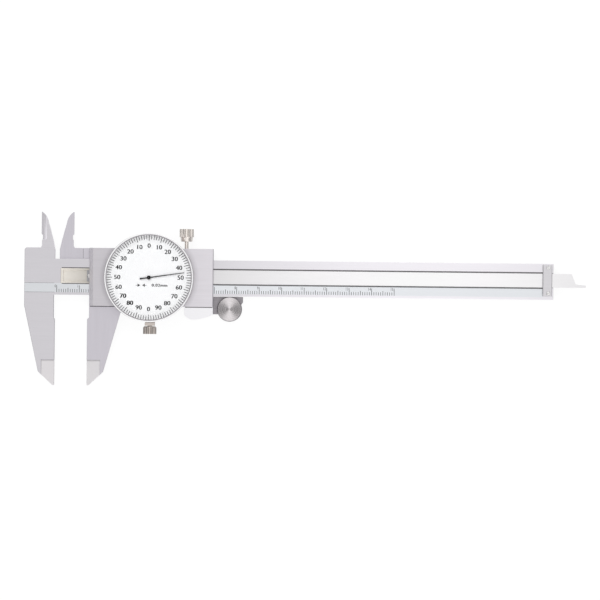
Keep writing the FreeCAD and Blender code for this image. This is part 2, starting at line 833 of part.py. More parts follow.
def make_depth_bar():
    """The depth bar in the beam's front groove, fastened under the slider's web."""
    low = d.groove_shift - d.bar_width / 2
    high = d.groove_shift + d.bar_width / 2
    end = d.beam_length + d.rest_opening
    tip = end - d.bar_tongue_length
    outline = [
        (bar_x, low),
        (end - d.edge_break, low),
        (end, low + d.edge_break),
        (end, low + d.bar_tongue_end),
        (tip, low + d.bar_tongue_width),
        (tip - d.bar_tip_slope, high),
        (bar_x, high),
    ]
    bottom = groove_floor + d.running_gap
    bar = plate("bar_blade", outline, (bottom, bottom + d.bar_thickness))
    pad_y = (low + d.bar_pad_margin, high - d.bar_pad_margin)
    pad = block("bar_pad", (bar_x, bar_x + d.bar_pad_length), pad_y, (bottom, web_bottom))
    drilled = holes("bar_screw_hole", bar_screw_places, (bottom - past, web_bottom + past))
    name_node("depth_bar", cut("bar_body", fuse("bar_blank", [bar, pad]), drilled))
    seat = web_top - d.screw_head
    shank = (bottom + d.running_gap, seat)
    pair = screws("depth_bar_screws", bar_screw_places, (seat, web_top), shank, sides=HEX)
    name_node("depth_bar_screws", pair)


def make_roller():
    """The thumb roller that drives the slider along the beam's lower edge, and the stud that it turns on."""
    low = back_top + d.roller_lift
    high = low + d.roller_thickness
    outline = fluted_ring(d.roller_radius, d.roller_flute_depth, d.roller_flutes)
    rim = shaped("roller_rim", extruded(outline, (low, high)))
    bore = rod("roller_bore", d.roller_pin_radius + d.running_gap, (low - past, high - d.roller_face))
    name_node("thumb_roller", cut("roller_body", rim, [bore]), roller_x, roller_y)
    pin = rod("roller_pin_body", d.roller_pin_radius, (back_bottom, high - d.roller_face - d.running_gap))
    name_node("roller_pin", pin, roller_x, roller_y, back_bottom)


def hand_grip(name, radius, span):
    """The coarsely fluted head of a hand screw."""
    outline = fluted_ring(radius, d.grip_flute_depth, d.grip_flutes, 0.5)
    return shaped(name, extruded(outline, span))


def make_dial_housing():
    """The cup that holds the gear train, with the ear for the bezel's clamp screw."""
    inner = housing_radius - d.housing_wall
    cup = turned(
        "housing_cup",
        [
            (0, web_top),
            (housing_radius, web_top),
            (housing_radius, rim_top),
            (inner, rim_top),
            (inner, floor_top),
            (0, floor_top),
        ],
    )
    place(cup, dial_x, 0, 0)
    ear_gap = d.clamp_play * 2
    ear_y = (-(d.bezel_radius + ear_gap + d.clamp_ear), -(d.bezel_radius + ear_gap))
    ear_x = (clamp_x - d.clamp_ear_width / 2, clamp_x + d.clamp_ear_width / 2)
    ear_top = web_top + d.clamp_ear_height
    clamp_z = ear_top - d.clamp_drop
    ear = block("clamp_ear_blank", ear_x, ear_y, (web_top, ear_top))
    foot = block("clamp_foot", ear_x, (ear_y[0], -inner), (web_top, web_top + d.clamp_foot_height))
    clamp_bore = d.clamp_stem_radius + d.running_gap * 2
    bore_y = (ear_y[0] - past, ear_y[1] + past)
    bore = prism_along_y("clamp_stem_hole", clamp_bore, bore_y, clamp_x, clamp_z, HEAD_SIDES)
    floor = (web_top - past, floor_top + past)
    cuts = [bore] + sinks("bush_seat", [(arbor_x, 0), (dial_x, 0)], floor, d.bush_radius)
    cuts += holes("housing_screw_hole", housing_screw_places, floor)
    cuts += holes("pillar_screw_hole", pillar_places, floor)
    name_node("dial_housing", cut("housing_body", fuse("housing_blank", [cup, ear, foot]), cuts))
    name_node(
        "housing_screws",
        screws(
            "housing_screws",
            housing_screw_places,
            (floor_top, floor_top + d.screw_head),
            (housing_thread_end + d.running_gap, floor_top),
            sides=HEX,
        ),
    )
    collar = (d.clamp_ear + d.clamp_neck, d.clamp_ear + d.clamp_neck + d.clamp_collar)
    collar_radius = d.clamp_head_radius - d.grip_flute_depth
    stem = turned(
        "clamp_screw_turned",
        [
            (0, 0),
            (d.clamp_stem_radius, 0),
            (d.clamp_stem_radius, collar[0]),
            (collar_radius, collar[0]),
            (collar_radius, collar[1]),
            (0, collar[1]),
        ],
    )
    grip = hand_grip("clamp_grip", d.clamp_head_radius, (collar[1], collar[1] + d.clamp_head_length))
    knob = fuse("clamp_screw_body", [stem, grip])
    knob.Placement.Rotation = AGAINST_Y
    name_node("bezel_clamp_screw", knob, clamp_x, -(d.bezel_radius + d.clamp_play), clamp_z)


def make_bezel():
    """The turning bezel with the dial face on its ledge and the crystal pressed in above it."""
    low = web_top + d.bezel_lift
    top = crystal_bottom + d.crystal_thickness + d.bezel_lip
    outline = fluted_ring(d.bezel_radius, d.flute_depth, d.bezel_flutes)
    rim = shaped("bezel_rim", extruded(outline, (low, top)))
    bore = turned(
        "bezel_turned_bore",
        [
            (0, low - past),
            (bezel_bore, low - past),
            (bezel_bore, face_bottom),
            (bezel_inner, face_bottom),
            (bezel_inner, top + past),
            (0, top + past),
        ],
    )
    name_node("bezel_ring", cut("bezel_body", rim, [bore]), dial_x)
    disc = rod("face_disc", bezel_inner - d.running_gap, (face_bottom, face_top_z))
    eye = sinks("face_eye", [(0, 0)], (face_bottom - past, face_top_z + past), d.face_bore)
    name_node("dial_face", cut("face_body", disc, eye), dial_x)
    lens = rod(
        "crystal_lens", bezel_inner - d.running_gap, (crystal_bottom, crystal_bottom + d.crystal_thickness)
    )
    name_node("crystal", lens, dial_x, 0, crystal_bottom)


def gear_outline(module, teeth, turn, pointed=False):
    """A spur gear's outline; turn is the angle of the first tooth's centre.

    A tooth has three places on each involute flank, or with pointed a straight flank down to a V root.
    """
    alpha = math.radians(number(d.pressure_angle))
    pitch = module * teeth / 2
    base = pitch * math.cos(alpha)
    root, tip = pitch - WHEEL_DEDENDUM * module, pitch + WHEEL_ADDENDUM * module
    half = math.pi / (2 * teeth) - number(d.tooth_play) / (2 * pitch)
    involute = math.tan(alpha) - alpha

    def half_angle(radius):
        lean = math.acos(base / max(radius, base))
        return half + involute - (math.tan(lean) - lean)

    side = [(radius, half_angle(radius)) for radius in (root, pitch, tip)]
    if pointed:
        flare = (half - half_angle(tip)) / (tip - pitch)
        side = [(tip, half_angle(tip))]
        root = pitch - (math.pi / teeth - half) / flare
    outline = []
    for i in range(teeth):
        centre = turn + i * 2 * math.pi / teeth
        corners = [(radius, -angle) for radius, angle in side] + side[::-1]
        if pointed:
            corners.insert(0, (root, -math.pi / teeth))
        for radius, angle in corners:
            outline.append((radius * math.cos(centre + angle), radius * math.sin(centre + angle)))
    return outline


def c_spring_outline(outer, inner, mouth, steps=18):
    """An open ring whose mouth takes an angle in degrees on its +X side."""
    begin = math.radians(mouth / 2)
    step = (2 * math.pi - 2 * begin) / steps
    angles = [begin + i * step for i in range(steps + 1)]
    outline = [(outer * math.cos(angle), outer * math.sin(angle)) for angle in angles]
    outline += [(inner * math.cos(angle), inner * math.sin(angle)) for angle in reversed(angles)]
    return outline


def make_wheel(label, teeth, span):
    """A toothed wheel on the first arbor."""
    outline = gear_outline(number(d.wheel_module), teeth, 0, pointed=True)
    blank = shaped(f"{label}_blank", extruded(outline, span))
    bore = sinks(f"{label}_bore", [(0, 0)], (span[0] - past, span[1] + past), d.arbor_radius)
    name_node(label, cut(f"{label}_body", blank, bore), arbor_x)


def make_gear_train():
    """Rack pinion, main wheel and its spring-loaded twin on one arbor, driving the pointer's pinion."""
    rack_module = number(d.rack_pitch) / math.pi
    pinion_teeth = int(number(d.rack_pinion_teeth))
    wheel_teeth = int(number(d.wheel_teeth))
    centre_teeth = int(number(d.centre_pinion_teeth))
    pinion = (channel_floor + d.running_gap * 5, web_top - d.running_gap)
    wheel_bottom = floor_top + d.wheel_lift
    wheel_top = wheel_bottom + d.wheel_thickness
    twin_bottom = wheel_top + d.take_up_spring
    twin_top = twin_bottom + d.take_up_thickness
    bridge_bottom = twin_top + d.bridge_lift
    bridge_top = bridge_bottom + d.bridge_thickness

    first_tooth = math.pi / 2 + math.pi / pinion_teeth
    outline = gear_outline(rack_module, pinion_teeth, first_tooth)
    teeth = shaped("rack_pinion_teeth_solid", extruded(outline, pinion))
    staff = turned(
        "first_staff",
        [
            (0, pinion[1] - d.running_gap),
            (d.staff_radius, pinion[1] - d.running_gap),
            (d.staff_radius, wheel_bottom),
            (d.arbor_radius, wheel_bottom),
            (d.arbor_radius, bridge_top),
            (0, bridge_top),
        ],
    )
    name_node("rack_pinion_arbor", fuse("first_arbor_body", [teeth, staff]), arbor_x)
    make_wheel("main_wheel", wheel_teeth, (wheel_bottom, wheel_top))
    make_wheel("take_up_wheel", wheel_teeth, (twin_bottom, twin_top))
    outer, inner = number(d.spring_radius), number(d.spring_radius - d.spring_width)
    ring = extruded(c_spring_outline(outer, inner, number(d.spring_mouth)), (wheel_top, twin_bottom))
    name_node("take_up_spring", shaped("spring_body", ring), arbor_x)

    centre_first_tooth = math.pi + math.pi / centre_teeth
    leaf_span = (floor_top + d.running_gap, bridge_bottom - d.running_gap)
    outline = gear_outline(number(d.wheel_module), centre_teeth, centre_first_tooth)
    leaves = shaped("centre_leaves", extruded(outline, leaf_span))
    hub_top = face_top_z + d.crystal_rise - d.pointer_lift
    staff = prism("centre_staff", HEAD_SIDES, d.arbor_radius, (web_top + d.slide_gap, hub_top))
    name_node("centre_arbor", fuse("centre_arbor_body", [leaves, staff]), dial_x)

    pointer_z = (face_top_z + d.pointer_lift, face_top_z + d.pointer_lift + d.pointer_thickness)
    half, tail_half, tip_half = d.pointer_width / 2, d.pointer_tail_width / 2, d.pointer_tip_width / 2
    blade = plate(
        "pointer_blade",
        [
            (d.pointer_length, -tip_half),
            (d.pointer_length, tip_half),
            (d.pointer_hub_radius, half),
            (-d.pointer_tail_neck, half),
            (-d.pointer_tail_start, tail_half),
            (-d.pointer_tail, tail_half),
            (-d.pointer_tail, -tail_half),
            (-d.pointer_tail_start, -tail_half),
            (-d.pointer_tail_neck, -half),
            (d.pointer_hub_radius, -half),
        ],
        pointer_z,
    )
    hub = rod("pointer_hub", d.pointer_hub_radius, (pointer_z[0], hub_top - d.running_gap))
    bore = sinks("pointer_bore", [(0, 0)], (pointer_z[0] - past, hub_top + past), d.arbor_radius)
    pointer = cut("pointer_body", fuse("pointer_blank", [blade, hub]), bore)
    pointer.Placement.Rotation = FreeCAD.Rotation(Vector(0, 0, 1), number(d.pointer_angle))
    name_node("pointer", pointer, dial_x)

    bushes = []
    for i, (x, radius) in enumerate(((arbor_x, d.staff_radius), (dial_x, d.arbor_radius)), start=1):
        blank = prism(f"bush_{i}", HEAD_SIDES, d.bush_radius, (web_top, floor_top), x, 0)
        pivot = sinks(f"bush_pivot_{i}", [(x, 0)], (web_top - past, floor_top + past), radius + d.running_gap)
        bushes.append(cut(f"bush_body_{i}", blank, pivot))
    name_node("pivot_bushes", gather("bush_pair", bushes))

    pillars = []
    for i, (x, y) in enumerate(pillar_places, start=1):
        post = prism(f"pillar_{i}", HEX, d.pillar_radius, (floor_top, bridge_bottom), x, y)
        bored = holes(f"pillar_bore_{i}", [(x, y)], (floor_top - past, bridge_bottom + past))
        pillars.append(cut(f"pillar_post_{i}", post, bored))
    name_node("movement_pillars", gather("pillar_set", pillars))
    left, right = arbor_x - d.bridge_margin, far_pillar_x + d.bridge_margin
    reach = d.pillar_reach + d.bridge_margin
    bridge = plate(
        "bridge_blank",
        [
            (left, -reach),
            (arbor_x + d.bridge_margin, -reach),
            (right, -d.bridge_margin),
            (right, d.bridge_margin),
            (arbor_x + d.bridge_margin, reach),
            (left, reach),
        ],
        (bridge_bottom, bridge_top),
    )
    through = (bridge_bottom - past, bridge_top + past)
    bores = holes("bridge_hole", pillar_places, through)
    bores += sinks("bridge_pivot", [(arbor_x, 0), (dial_x, 0)], through, d.arbor_radius + d.running_gap)
    name_node("bridge_plate", cut("bridge_body", bridge, bores))
    head = (bridge_top, bridge_top + d.screw_head)
    shank = (web_top + d.running_gap, bridge_top)
    name_node("bridge_screws", screws("bridge_screws", pillar_places, head, shank, sides=HEX))


def make_lock():
    """The fluted screw on the slider's top edge, with the brass tip that it presses on the gib."""
    tip_start = gib_y[1] + d.lock_play
    start = tip_start + d.lock_tip_length
    collar = d.lock_head_start - d.lock_collar_length
    stem = turned(
        "lock_stem",
        [
            (0, start),
            (d.lock_stem_radius, start),
            (d.lock_stem_radius, collar),
            (d.lock_collar_radius - d.lock_collar_taper, collar),
            (d.lock_collar_radius, d.lock_head_start),
            (0, d.lock_head_start),
        ],
    )
    head = (d.lock_head_start, d.lock_head_start + d.lock_head_length)
    grip = hand_grip("lock_grip", d.lock_head_radius, head)
    knob = fuse("lock_screw_body", [stem, grip])
    knob.Placement.Rotation = ALONG_Y
    name_node("lock_screw", knob, lock_x, 0, d.lock_rise)
    tip = prism_along_y("lock_tip_body", d.lock_stem_radius, (tip_start, start))
    name_node("lock_tip", tip, lock_x, tip_start, d.lock_rise)


make_beam()
make_rack()
make_end_plate()
make_slider_frame()
make_slider_fittings()
make_depth_bar()
make_roller()
make_dial_housing()
make_bezel()
make_gear_train()
make_lock()
doc.recompute()

for thing in doc.Objects:
    for word in ("Invalid", "Error"):
        if word in thing.State:
            raise RuntimeError(f"{thing.Name} is {word}: {thing.getStatusString()}")
for label, thing in nodes.items():
    shape = thing.Shape
    if shape.isNull() or not shape.isValid() or not shape.Solids:
        raise RuntimeError(f"{label} has no sound shape")

os.makedirs("parts", exist_ok=True)
for label, thing in nodes.items():
    thing.Shape.exportStep(f"parts/{label}.step")
    print(f"{label}: {len(thing.Shape.Solids)} solid(s), {thing.Shape.Volume:.2f} mm3")
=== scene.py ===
# %% [markdown]
# A dial caliper, dressed for a studio picture.
# The construction comes ready made as the frame: every steel part lies where it belongs, in metres,
# with the caliper flat on its back and the dial up. This lesson adds what the construction leaves out:
# the ground and polished finishes, the printed dial, the etched scale, eased edges and the small
# turned parts.

# %% Load the frame
import json
import math

import bpy
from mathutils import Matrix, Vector

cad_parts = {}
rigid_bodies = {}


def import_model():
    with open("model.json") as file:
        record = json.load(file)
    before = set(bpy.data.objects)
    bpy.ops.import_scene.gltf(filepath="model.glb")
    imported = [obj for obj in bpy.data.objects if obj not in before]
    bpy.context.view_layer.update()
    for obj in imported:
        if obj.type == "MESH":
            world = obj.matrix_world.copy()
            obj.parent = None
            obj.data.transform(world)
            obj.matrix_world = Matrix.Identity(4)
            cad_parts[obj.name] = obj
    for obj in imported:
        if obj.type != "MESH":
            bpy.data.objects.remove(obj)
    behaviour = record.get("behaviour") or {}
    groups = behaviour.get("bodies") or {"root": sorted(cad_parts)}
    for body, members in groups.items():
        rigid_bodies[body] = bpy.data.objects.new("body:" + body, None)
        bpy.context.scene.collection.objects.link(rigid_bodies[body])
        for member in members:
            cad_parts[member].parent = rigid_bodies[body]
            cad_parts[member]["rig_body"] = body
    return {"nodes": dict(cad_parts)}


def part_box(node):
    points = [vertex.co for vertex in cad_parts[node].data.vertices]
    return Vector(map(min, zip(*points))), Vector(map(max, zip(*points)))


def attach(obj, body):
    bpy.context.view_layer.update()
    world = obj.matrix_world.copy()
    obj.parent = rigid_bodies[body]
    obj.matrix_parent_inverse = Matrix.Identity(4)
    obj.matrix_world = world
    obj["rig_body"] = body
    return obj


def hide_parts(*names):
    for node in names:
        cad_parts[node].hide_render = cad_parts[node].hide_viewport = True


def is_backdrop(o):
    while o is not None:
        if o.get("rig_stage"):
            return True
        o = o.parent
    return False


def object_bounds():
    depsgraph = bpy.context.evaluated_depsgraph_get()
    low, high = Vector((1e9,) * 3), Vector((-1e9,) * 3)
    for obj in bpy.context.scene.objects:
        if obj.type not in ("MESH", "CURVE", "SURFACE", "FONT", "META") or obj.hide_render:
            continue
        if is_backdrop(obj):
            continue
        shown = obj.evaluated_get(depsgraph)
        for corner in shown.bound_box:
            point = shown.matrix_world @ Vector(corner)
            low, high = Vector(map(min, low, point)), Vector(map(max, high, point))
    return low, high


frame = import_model()
cad_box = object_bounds()
nodes = frame["nodes"]
MM = 0.001
print("nodes:", len(nodes))

# %% [markdown]
# Every later step needs a few places: the beam's centre line and top face, the slider's far corner and
# the dial's centre. They are read from the frame's own boxes, so that nothing has to be fitted by hand
# if the construction changes.

# %% Places that the frame gives
beam_low, beam_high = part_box("beam")
face_low, face_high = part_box("dial_face")
gib_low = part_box("gib_strip")[0]
rack_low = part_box("rack")[0]
frame_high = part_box("slider_frame")[1]
BEAM_HEIGHT = 16.0 * MM
GIB_GAP = 0.05 * MM
centre_y = gib_low.y - GIB_GAP - BEAM_HEIGHT / 2
beam_top = beam_high.z
dial = Vector(((face_low.x + face_high.x) / 2, (face_low.y + face_high.y) / 2, face_high.z))
print("beam centre line", round(centre_y / MM, 2), "dial", [round(c / MM, 2) for c in dial])

# %% [markdown]
# The picture was taken from straight above with a long lens, and the caliper lies turned by a little over
# half a degree. Two points fix such a view: the fixed jaw's face on the beam's centre line, and the beam's
# far end on the same line. The distance between them in pixels gives the scale, and with the lens it gives
# the camera's height.

# %% Set up the camera
IMAGE_SIZE = 600
JAW_PIXEL = Vector((55.0, 276.64))
END_PIXEL = Vector((553.4, 281.97))
LENS = 300.0
SENSOR = 36.0


def stand_camera():
    """A camera that looks straight down and puts the two known points on their pixels."""
    jaw, end = Vector((0, centre_y)), Vector((beam_high.x, centre_y))
    across = END_PIXEL - JAW_PIXEL
    scale = across.length / (end - jaw).length
    turn = math.atan2(across.y, across.x)
    middle = Vector((IMAGE_SIZE / 2, IMAGE_SIZE / 2)) - JAW_PIXEL
    side, up = middle.x / scale, -middle.y / scale
    centre = jaw + Vector(
        (side * math.cos(turn) - up * math.sin(turn), side * math.sin(turn) + up * math.cos(turn))
    )
    height = IMAGE_SIZE / scale / 2 * LENS / (SENSOR / 2)
    bpy.ops.object.camera_add(location=(centre.x, centre.y, beam_top + height), rotation=(0, 0, turn))
    camera = bpy.context.object
    camera.name = "studio_camera"
    camera.data.lens = LENS
    camera.data.sensor_width = SENSOR
    bpy.context.scene.camera = camera
    return height


print("camera height in mm", round(stand_camera() / MM, 1))

# %% [markdown]
# Node trees are easier to read as sums than as wires. A small class stands for a value on its way through
# a material, and its operators add the Math nodes. Everything else comes from one method that takes the
# node's type, its settings and what goes into its sockets.


# %% Materials written as expressions
class Flow:
    """A value on its way through a material's nodes."""

    def __init__(self, finish, socket):
        self.finish, self.socket = finish, socket

    def __add__(self, other):
        return self.finish.math("ADD", self, other)

    def __sub__(self, other):
        return self.finish.math("SUBTRACT", self, other)

    def __rsub__(self, other):
        return self.finish.math("SUBTRACT", other, self)

    def __mul__(self, other):
        return self.finish.math("MULTIPLY", self, other)

    __radd__ = __add__
    __rmul__ = __mul__


class Finish:
    """A material built round one Principled shader, or the nodes of a tree that is there already."""

    def __init__(self, name, tree=None):
        self.material = None
        if tree is None:
            self.material = bpy.data.materials.new(name)
            self.material.use_nodes = True
            tree = self.material.node_tree
            self.shader = tree.nodes["Principled BSDF"]
        self.tree = tree

    def feed(self, node, sockets):
        """Links or sets the named sockets of a node."""
        for name, value in sockets.items():
            if isinstance(value, Flow):
                self.tree.links.new(value.socket, node.inputs[name])
            else:
                node.inputs[name].default_value = value

    def node(self, kind, settings, sockets, output=0):
        """Adds a node by its type, its settings and what goes into its sockets."""
        made = self.tree.nodes.new(f"ShaderNode{kind}")
        for name, value in settings.items():
            setattr(made, name, value)
        self.feed(made, sockets)
        return Flow(self, made.outputs[output])

    def math(self, operation, first, second=0.0):
        return self.node("Math", {"operation": operation}, {0: first, 1: second})

    def held(self, value, low, high):
        """A value that stops at two limits."""
        return self.math("MINIMUM", self.math("MAXIMUM", value, low), high)

    def shade(self, **sockets):
        """Feeds the shader itself, with the sockets' names in lower case."""
        titles = {name: name.replace("_", " ").title().replace("Ior", "IOR") for name in sockets}
        self.feed(self.shader, {titles[name]: value for name, value in sockets.items()})
        return self.material

    def places(self, cell, centre=(0, 0, 0)):
        """Object coordinates counted in cells of so many millimetres along x, y and z, from a centre."""
        scale = tuple(1 / (size * MM) for size in cell)
        shift = tuple(-c * s for c, s in zip(centre, scale))
        spot = self.node("TexCoord", {}, {}, "Object")
        return self.node("Mapping", {}, {"Vector": spot, "Scale": scale, "Location": shift})

    def along(self, axis, cell, centre):
        """How far a point lies from a centre along one axis, in cells of so many millimetres."""
        return self.node("SeparateXYZ", {}, {"Vector": self.places((cell, cell, cell), centre)}, axis)

    def radius(self, centre):
        """How far a point lies from an upright axis, in millimetres."""
        spot = self.places((1.0, 1.0, 1e6), centre)
        return self.node("VectorMath", {"operation": "LENGTH"}, {0: spot}, "Value")

    def noise(self, cell, detail=2.0):
        """Clouds or streaks, from 0 to 1, by the size of their cells."""
        return self.node("TexNoise", {}, {"Vector": self.places(cell), "Scale": 1.0, "Detail": detail})

    def blend(self, share, low, high):
        """A colour between two colours."""
        return self.node("Mix", {"data_type": "RGBA"}, {0: share, 6: low, 7: high}, 2)

    def bump(self, height, depth):
        """A normal from a height, where 1 stands for so many millimetres."""
        return self.node("Bump", {}, {"Height": height, "Distance": depth * MM})


def shades(colour, low, high):
    """A colour made darker and lighter."""
    return [tuple(min(1.0, c * share) for c in colour) + (1.0,) for share in (low, high)]


print("shades of a grey:", shades((0.5, 0.5, 0.5), 0.9, 1.1))

# %% [markdown]
# The jaws, slider and beam are stainless steel, ground on a wheel and left satin. Grinding leaves streaks
# of uneven length along the wheel's path, so three noises are stretched that way: a fine one for close
# views, a coarser one that still shows from a metre away, and a broad one that tints whole stripes.
# Roughness and a very low bump follow the first two and break the reflections up.

# %% Ground steel
STREAKS = ((0.09, 9.0, 2.0), (0.45, 9.0, 3.0), (1.5, 26.0, 2.0))
ALONG = {"x": 0, "y": 1}
BROAD_SHARE = 0.4
ROUGH_SPAN = 0.16
GRAIN_DEPTH = 0.004


def ground_steel(name, colour, direction, roughness=0.34, contrast=0.10, wash=None, metallic=1.0):
    """Satin steel with grinding streaks along x or y. A wash returns a factor for the colour by place."""
    finish = Finish(name)
    streaks = []
    for width, length, detail in STREAKS:
        cell = [width] * 3
        cell[ALONG[direction]] = length
        streaks.append(finish.noise(cell, detail))
    fine, coarse, broad = streaks
    grain = fine * 0.5 + coarse * 0.5
    tint = grain * (1 - BROAD_SHARE) + broad * BROAD_SHARE
    ground = finish.blend(tint, *shades(colour, 1 - contrast, 1 + contrast))
    if wash:
        ground = finish.node("VectorMath", {"operation": "SCALE"}, {0: ground, 3: wash(finish)})
    return finish.shade(
        base_color=ground,
        metallic=metallic,
        roughness=grain * ROUGH_SPAN + (roughness - ROUGH_SPAN / 2),
        normal=finish.bump(grain, GRAIN_DEPTH),
    )


print("streaks in mm:", [streak[:2] for streak in STREAKS])

# %% [markdown]
# A long ground face mirrors a bright middle and darker ends, and lies in shade beside what stands on it. Here
# that light and shade are painted into the colour by washes. A wash is a factor for the colour that changes
# slowly with the place: a painted highlight along the beam and its band, a painted shade on the slider's web
# round the bezel, a painted shade at the start of each knife edge, where the wheel has left a rounded step,
# and painted shade in the groove towards the slider and under the depth bar. The groove is also paler at its
# end, where it lies bare beside the head.

# %% Washes by place
SHADE_START, SHADE_REACH, SHADE_DEPTH = 19.6, 2.6, 0.2
WEB_TONE, WEB_SLOPE = 1.05, 0.0042
KNIFE_START = centre_y - 36.8 * MM
KNIFE_DARK, KNIFE_SLOPE = 0.55, -0.5
BARE_END = rack_low.x + 2.5 * MM
BARE_TONE, SLIDER_SHADE_SLOPE = 0.72, -0.026
SLIDER_SHADE_LEAST, BAR_SHADE_SHARE = 0.6, 0.5


def across(finish, middle, reach, low, high):
    """A painted highlight along x: high at its middle, and down to low at its reach on both sides."""
    side = finish.along("X", reach, (middle, 0, 0))
    near = finish.math("MAXIMUM", 1.0 - side * side, 0.0)
    return near * (high - low) + low


def beam_glow(finish):
    return across(finish, middle=160.0 * MM, reach=100.0, low=0.92, high=1.27)


def band_glow(finish):
    return across(finish, middle=130.0 * MM, reach=130.0, low=0.93, high=1.06)


def round_dial(finish):
    """A painted shade on the web round the bezel's edge, and a painted gradient that is lighter towards the
    web's right end.
    """
    close = finish.held((finish.radius(tuple(dial)) - SHADE_START) * (1 / SHADE_REACH), 0.0, 1.0)
    side = finish.along("X", 1.0, tuple(dial))
    return (close * SHADE_DEPTH + (1 - SHADE_DEPTH)) * (side * WEB_SLOPE + WEB_TONE)


def knife_shade(finish):
    """A painted shade, darker at the knife edge's start, below the step that the wheel has left."""
    down = finish.along("Y", 1.0, (0, KNIFE_START, 0))
    return finish.held(down * KNIFE_SLOPE + KNIFE_DARK, KNIFE_DARK, 1.0)


def bare_end(finish):
    """Pale where the groove lies bare, with a painted shade that grows towards the slider and a painted shade
    under the depth bar.
    """
    side = finish.along("X", 1.0, (BARE_END, 0, 0))
    bare = finish.held(0.0 - side, BAR_SHADE_SHARE, 1.0)
    return bare * finish.math("MAXIMUM", side * SLIDER_SHADE_SLOPE + BARE_TONE, SLIDER_SHADE_LEAST)


print("knife edge starts at y", round(KNIFE_START / MM, 2))
print("groove is bare to x", round(BARE_END / MM, 2))

# %% [markdown]
# One kind of steel gives many looks here. The colour, the streaks' direction and the wash differ from face to
# face. Some colours are painted light: the slider's steel and its knife steel are lighter copies, the bevel
# and the thumb tab are painted lighter as painted highlights, and the bracket steel is painted dark as
# painted shade. A duller bevel is also a little less metallic, so that it doesn't mirror the dark side of the
# room.

# %% Mix the ground finishes
head_steel = ground_steel("head_steel", (0.56, 0.54, 0.585), "y")
# A lighter copy of the head's steel for the slider, painted light against its shade.
lit_slider_steel = ground_steel("lit_slider_steel", (0.635, 0.61, 0.66), "y")
steel_x = ground_steel("satin_steel_along", (0.70, 0.685, 0.71), "x")
# The web's steel carries the painted shade round the bezel.
web_steel = ground_steel("web_steel", (0.665, 0.64, 0.675), "x", wash=round_dial)
# The beam's and the depth bar's steels carry the painted highlight along the beam.
beam_steel = ground_steel("beam_steel", (0.735, 0.715, 0.75), "x", 0.30, 0.07, beam_glow)
bar_steel = ground_steel("bar_steel", (0.80, 0.79, 0.80), "x", 0.34, 0.06, beam_glow)
knife_steel = ground_steel("knife_steel", (0.775, 0.75, 0.765), "x", 0.42, 0.05, knife_shade)
# A lighter copy of the knife steel for the slider's knives, painted light.
lit_knife_steel = ground_steel("lit_knife_steel", (0.95, 0.925, 0.94), "x", 0.42, 0.04, knife_shade)
# The bevels' steel is painted lighter, a painted highlight on faces that turn towards the dark side of the
# room.
lit_bevel_steel = ground_steel("lit_bevel_steel", (0.93, 0.90, 0.95), "y", 0.4, 0.05, metallic=0.8)
# The thumb tab's steel is painted near white, a painted highlight.
lit_tab_steel = ground_steel("lit_tab_steel", (0.95, 0.94, 0.965), "x", 0.32, 0.03)
# The groove floor's steel carries painted shade towards the slider and under the depth bar.
milled_steel = ground_steel("milled_steel", (0.86, 0.82, 0.76), "x", 0.45, 0.06, bare_end)
band_chrome = ground_steel("band_chrome", (0.825, 0.845, 0.875), "x", 0.42, 0.04, band_glow)
# A dark steel that stands in for shade: painted shade on the roller's bracket and the roller's rim.
shade_dark_steel = ground_steel("painted_shade_steel", (0.36, 0.34, 0.36), "x", 0.36, 0.12)
rack_steel = ground_steel("rack_steel", (0.42, 0.42, 0.44), "y", 0.4, 0.15)
screw_steel = ground_steel("screw_steel", (0.86, 0.85, 0.85), "x", 0.28, 0.06)
brass = ground_steel("brass", (0.62, 0.44, 0.17), "x", 0.3, 0.08)
print("nodes in the beam's steel:", len(beam_steel.node_tree.nodes))

# %% [markdown]
# Turned faces carry rings instead of streaks. The distance from the piece's own axis drives a noise of one
# dimension, so that the rings differ in width and depth like a lathe tool's marks. The bump then bends the
# light to both sides of each ring, which gives the two bright fans that turned steel shows.

# %% Turned steel
RING_WIDTH, RING_DEPTH = 0.11, 0.03


def turned_steel(name, centre, colour):
    """Steel with lathe rings about an upright axis."""
    finish = Finish(name)
    spot = finish.radius(centre) * (1 / RING_WIDTH)
    rings = finish.node("TexNoise", {"noise_dimensions": "1D"}, {"W": spot, "Scale": 1.0, "Detail": 3.0})
    return finish.shade(
        base_color=finish.blend(rings, *shades(colour, 0.86, 1.1)),
        metallic=1.0,
        roughness=rings * 0.14 + 0.15,
        normal=finish.bump(rings, RING_DEPTH),
    )


roller_low, roller_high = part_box("thumb_roller")
roller_centre = (roller_low + roller_high) / 2
roller_steel = turned_steel("turned_steel", tuple(roller_centre), (0.60, 0.57, 0.58))
print("roller's axis at", [round(c / MM, 2) for c in roller_centre])

# %% [markdown]
# The other finishes are plain on purpose: a polished bezel, warm nickel on the hand screws, matt enamel on
# the dial, ink, and a clear crystal. Each still gets some variation, because a perfectly even surface looks
# drawn: fine scratches in the polish, a soft orange peel in the enamel and faint wear in the nickel.


# %% Plain finishes
def polished(name, colour, roughness, scratch=0.06):
    """Plated metal with fine wear."""
    finish = Finish(name)
    wear = finish.noise((0.8, 0.8, 0.8), 4.0)
    return finish.shade(
        base_color=finish.blend(wear, *shades(colour, 0.95, 1.04)),
        metallic=1.0,
        roughness=wear * scratch + (roughness - scratch / 2),
        normal=finish.bump(wear, 0.002),
    )


def enamel(name, colour, roughness=0.45, gloss=0.5):
    """Paint or ink with a soft orange peel."""
    finish = Finish(name)
    peel = finish.noise((0.35, 0.35, 0.35), 3.0)
    return finish.shade(
        base_color=finish.blend(peel, *shades(colour, 0.985, 1.01)),
        roughness=peel * 0.1 + (roughness - 0.05),
        specular_ior_level=gloss,
        normal=finish.bump(peel, 0.002),
    )


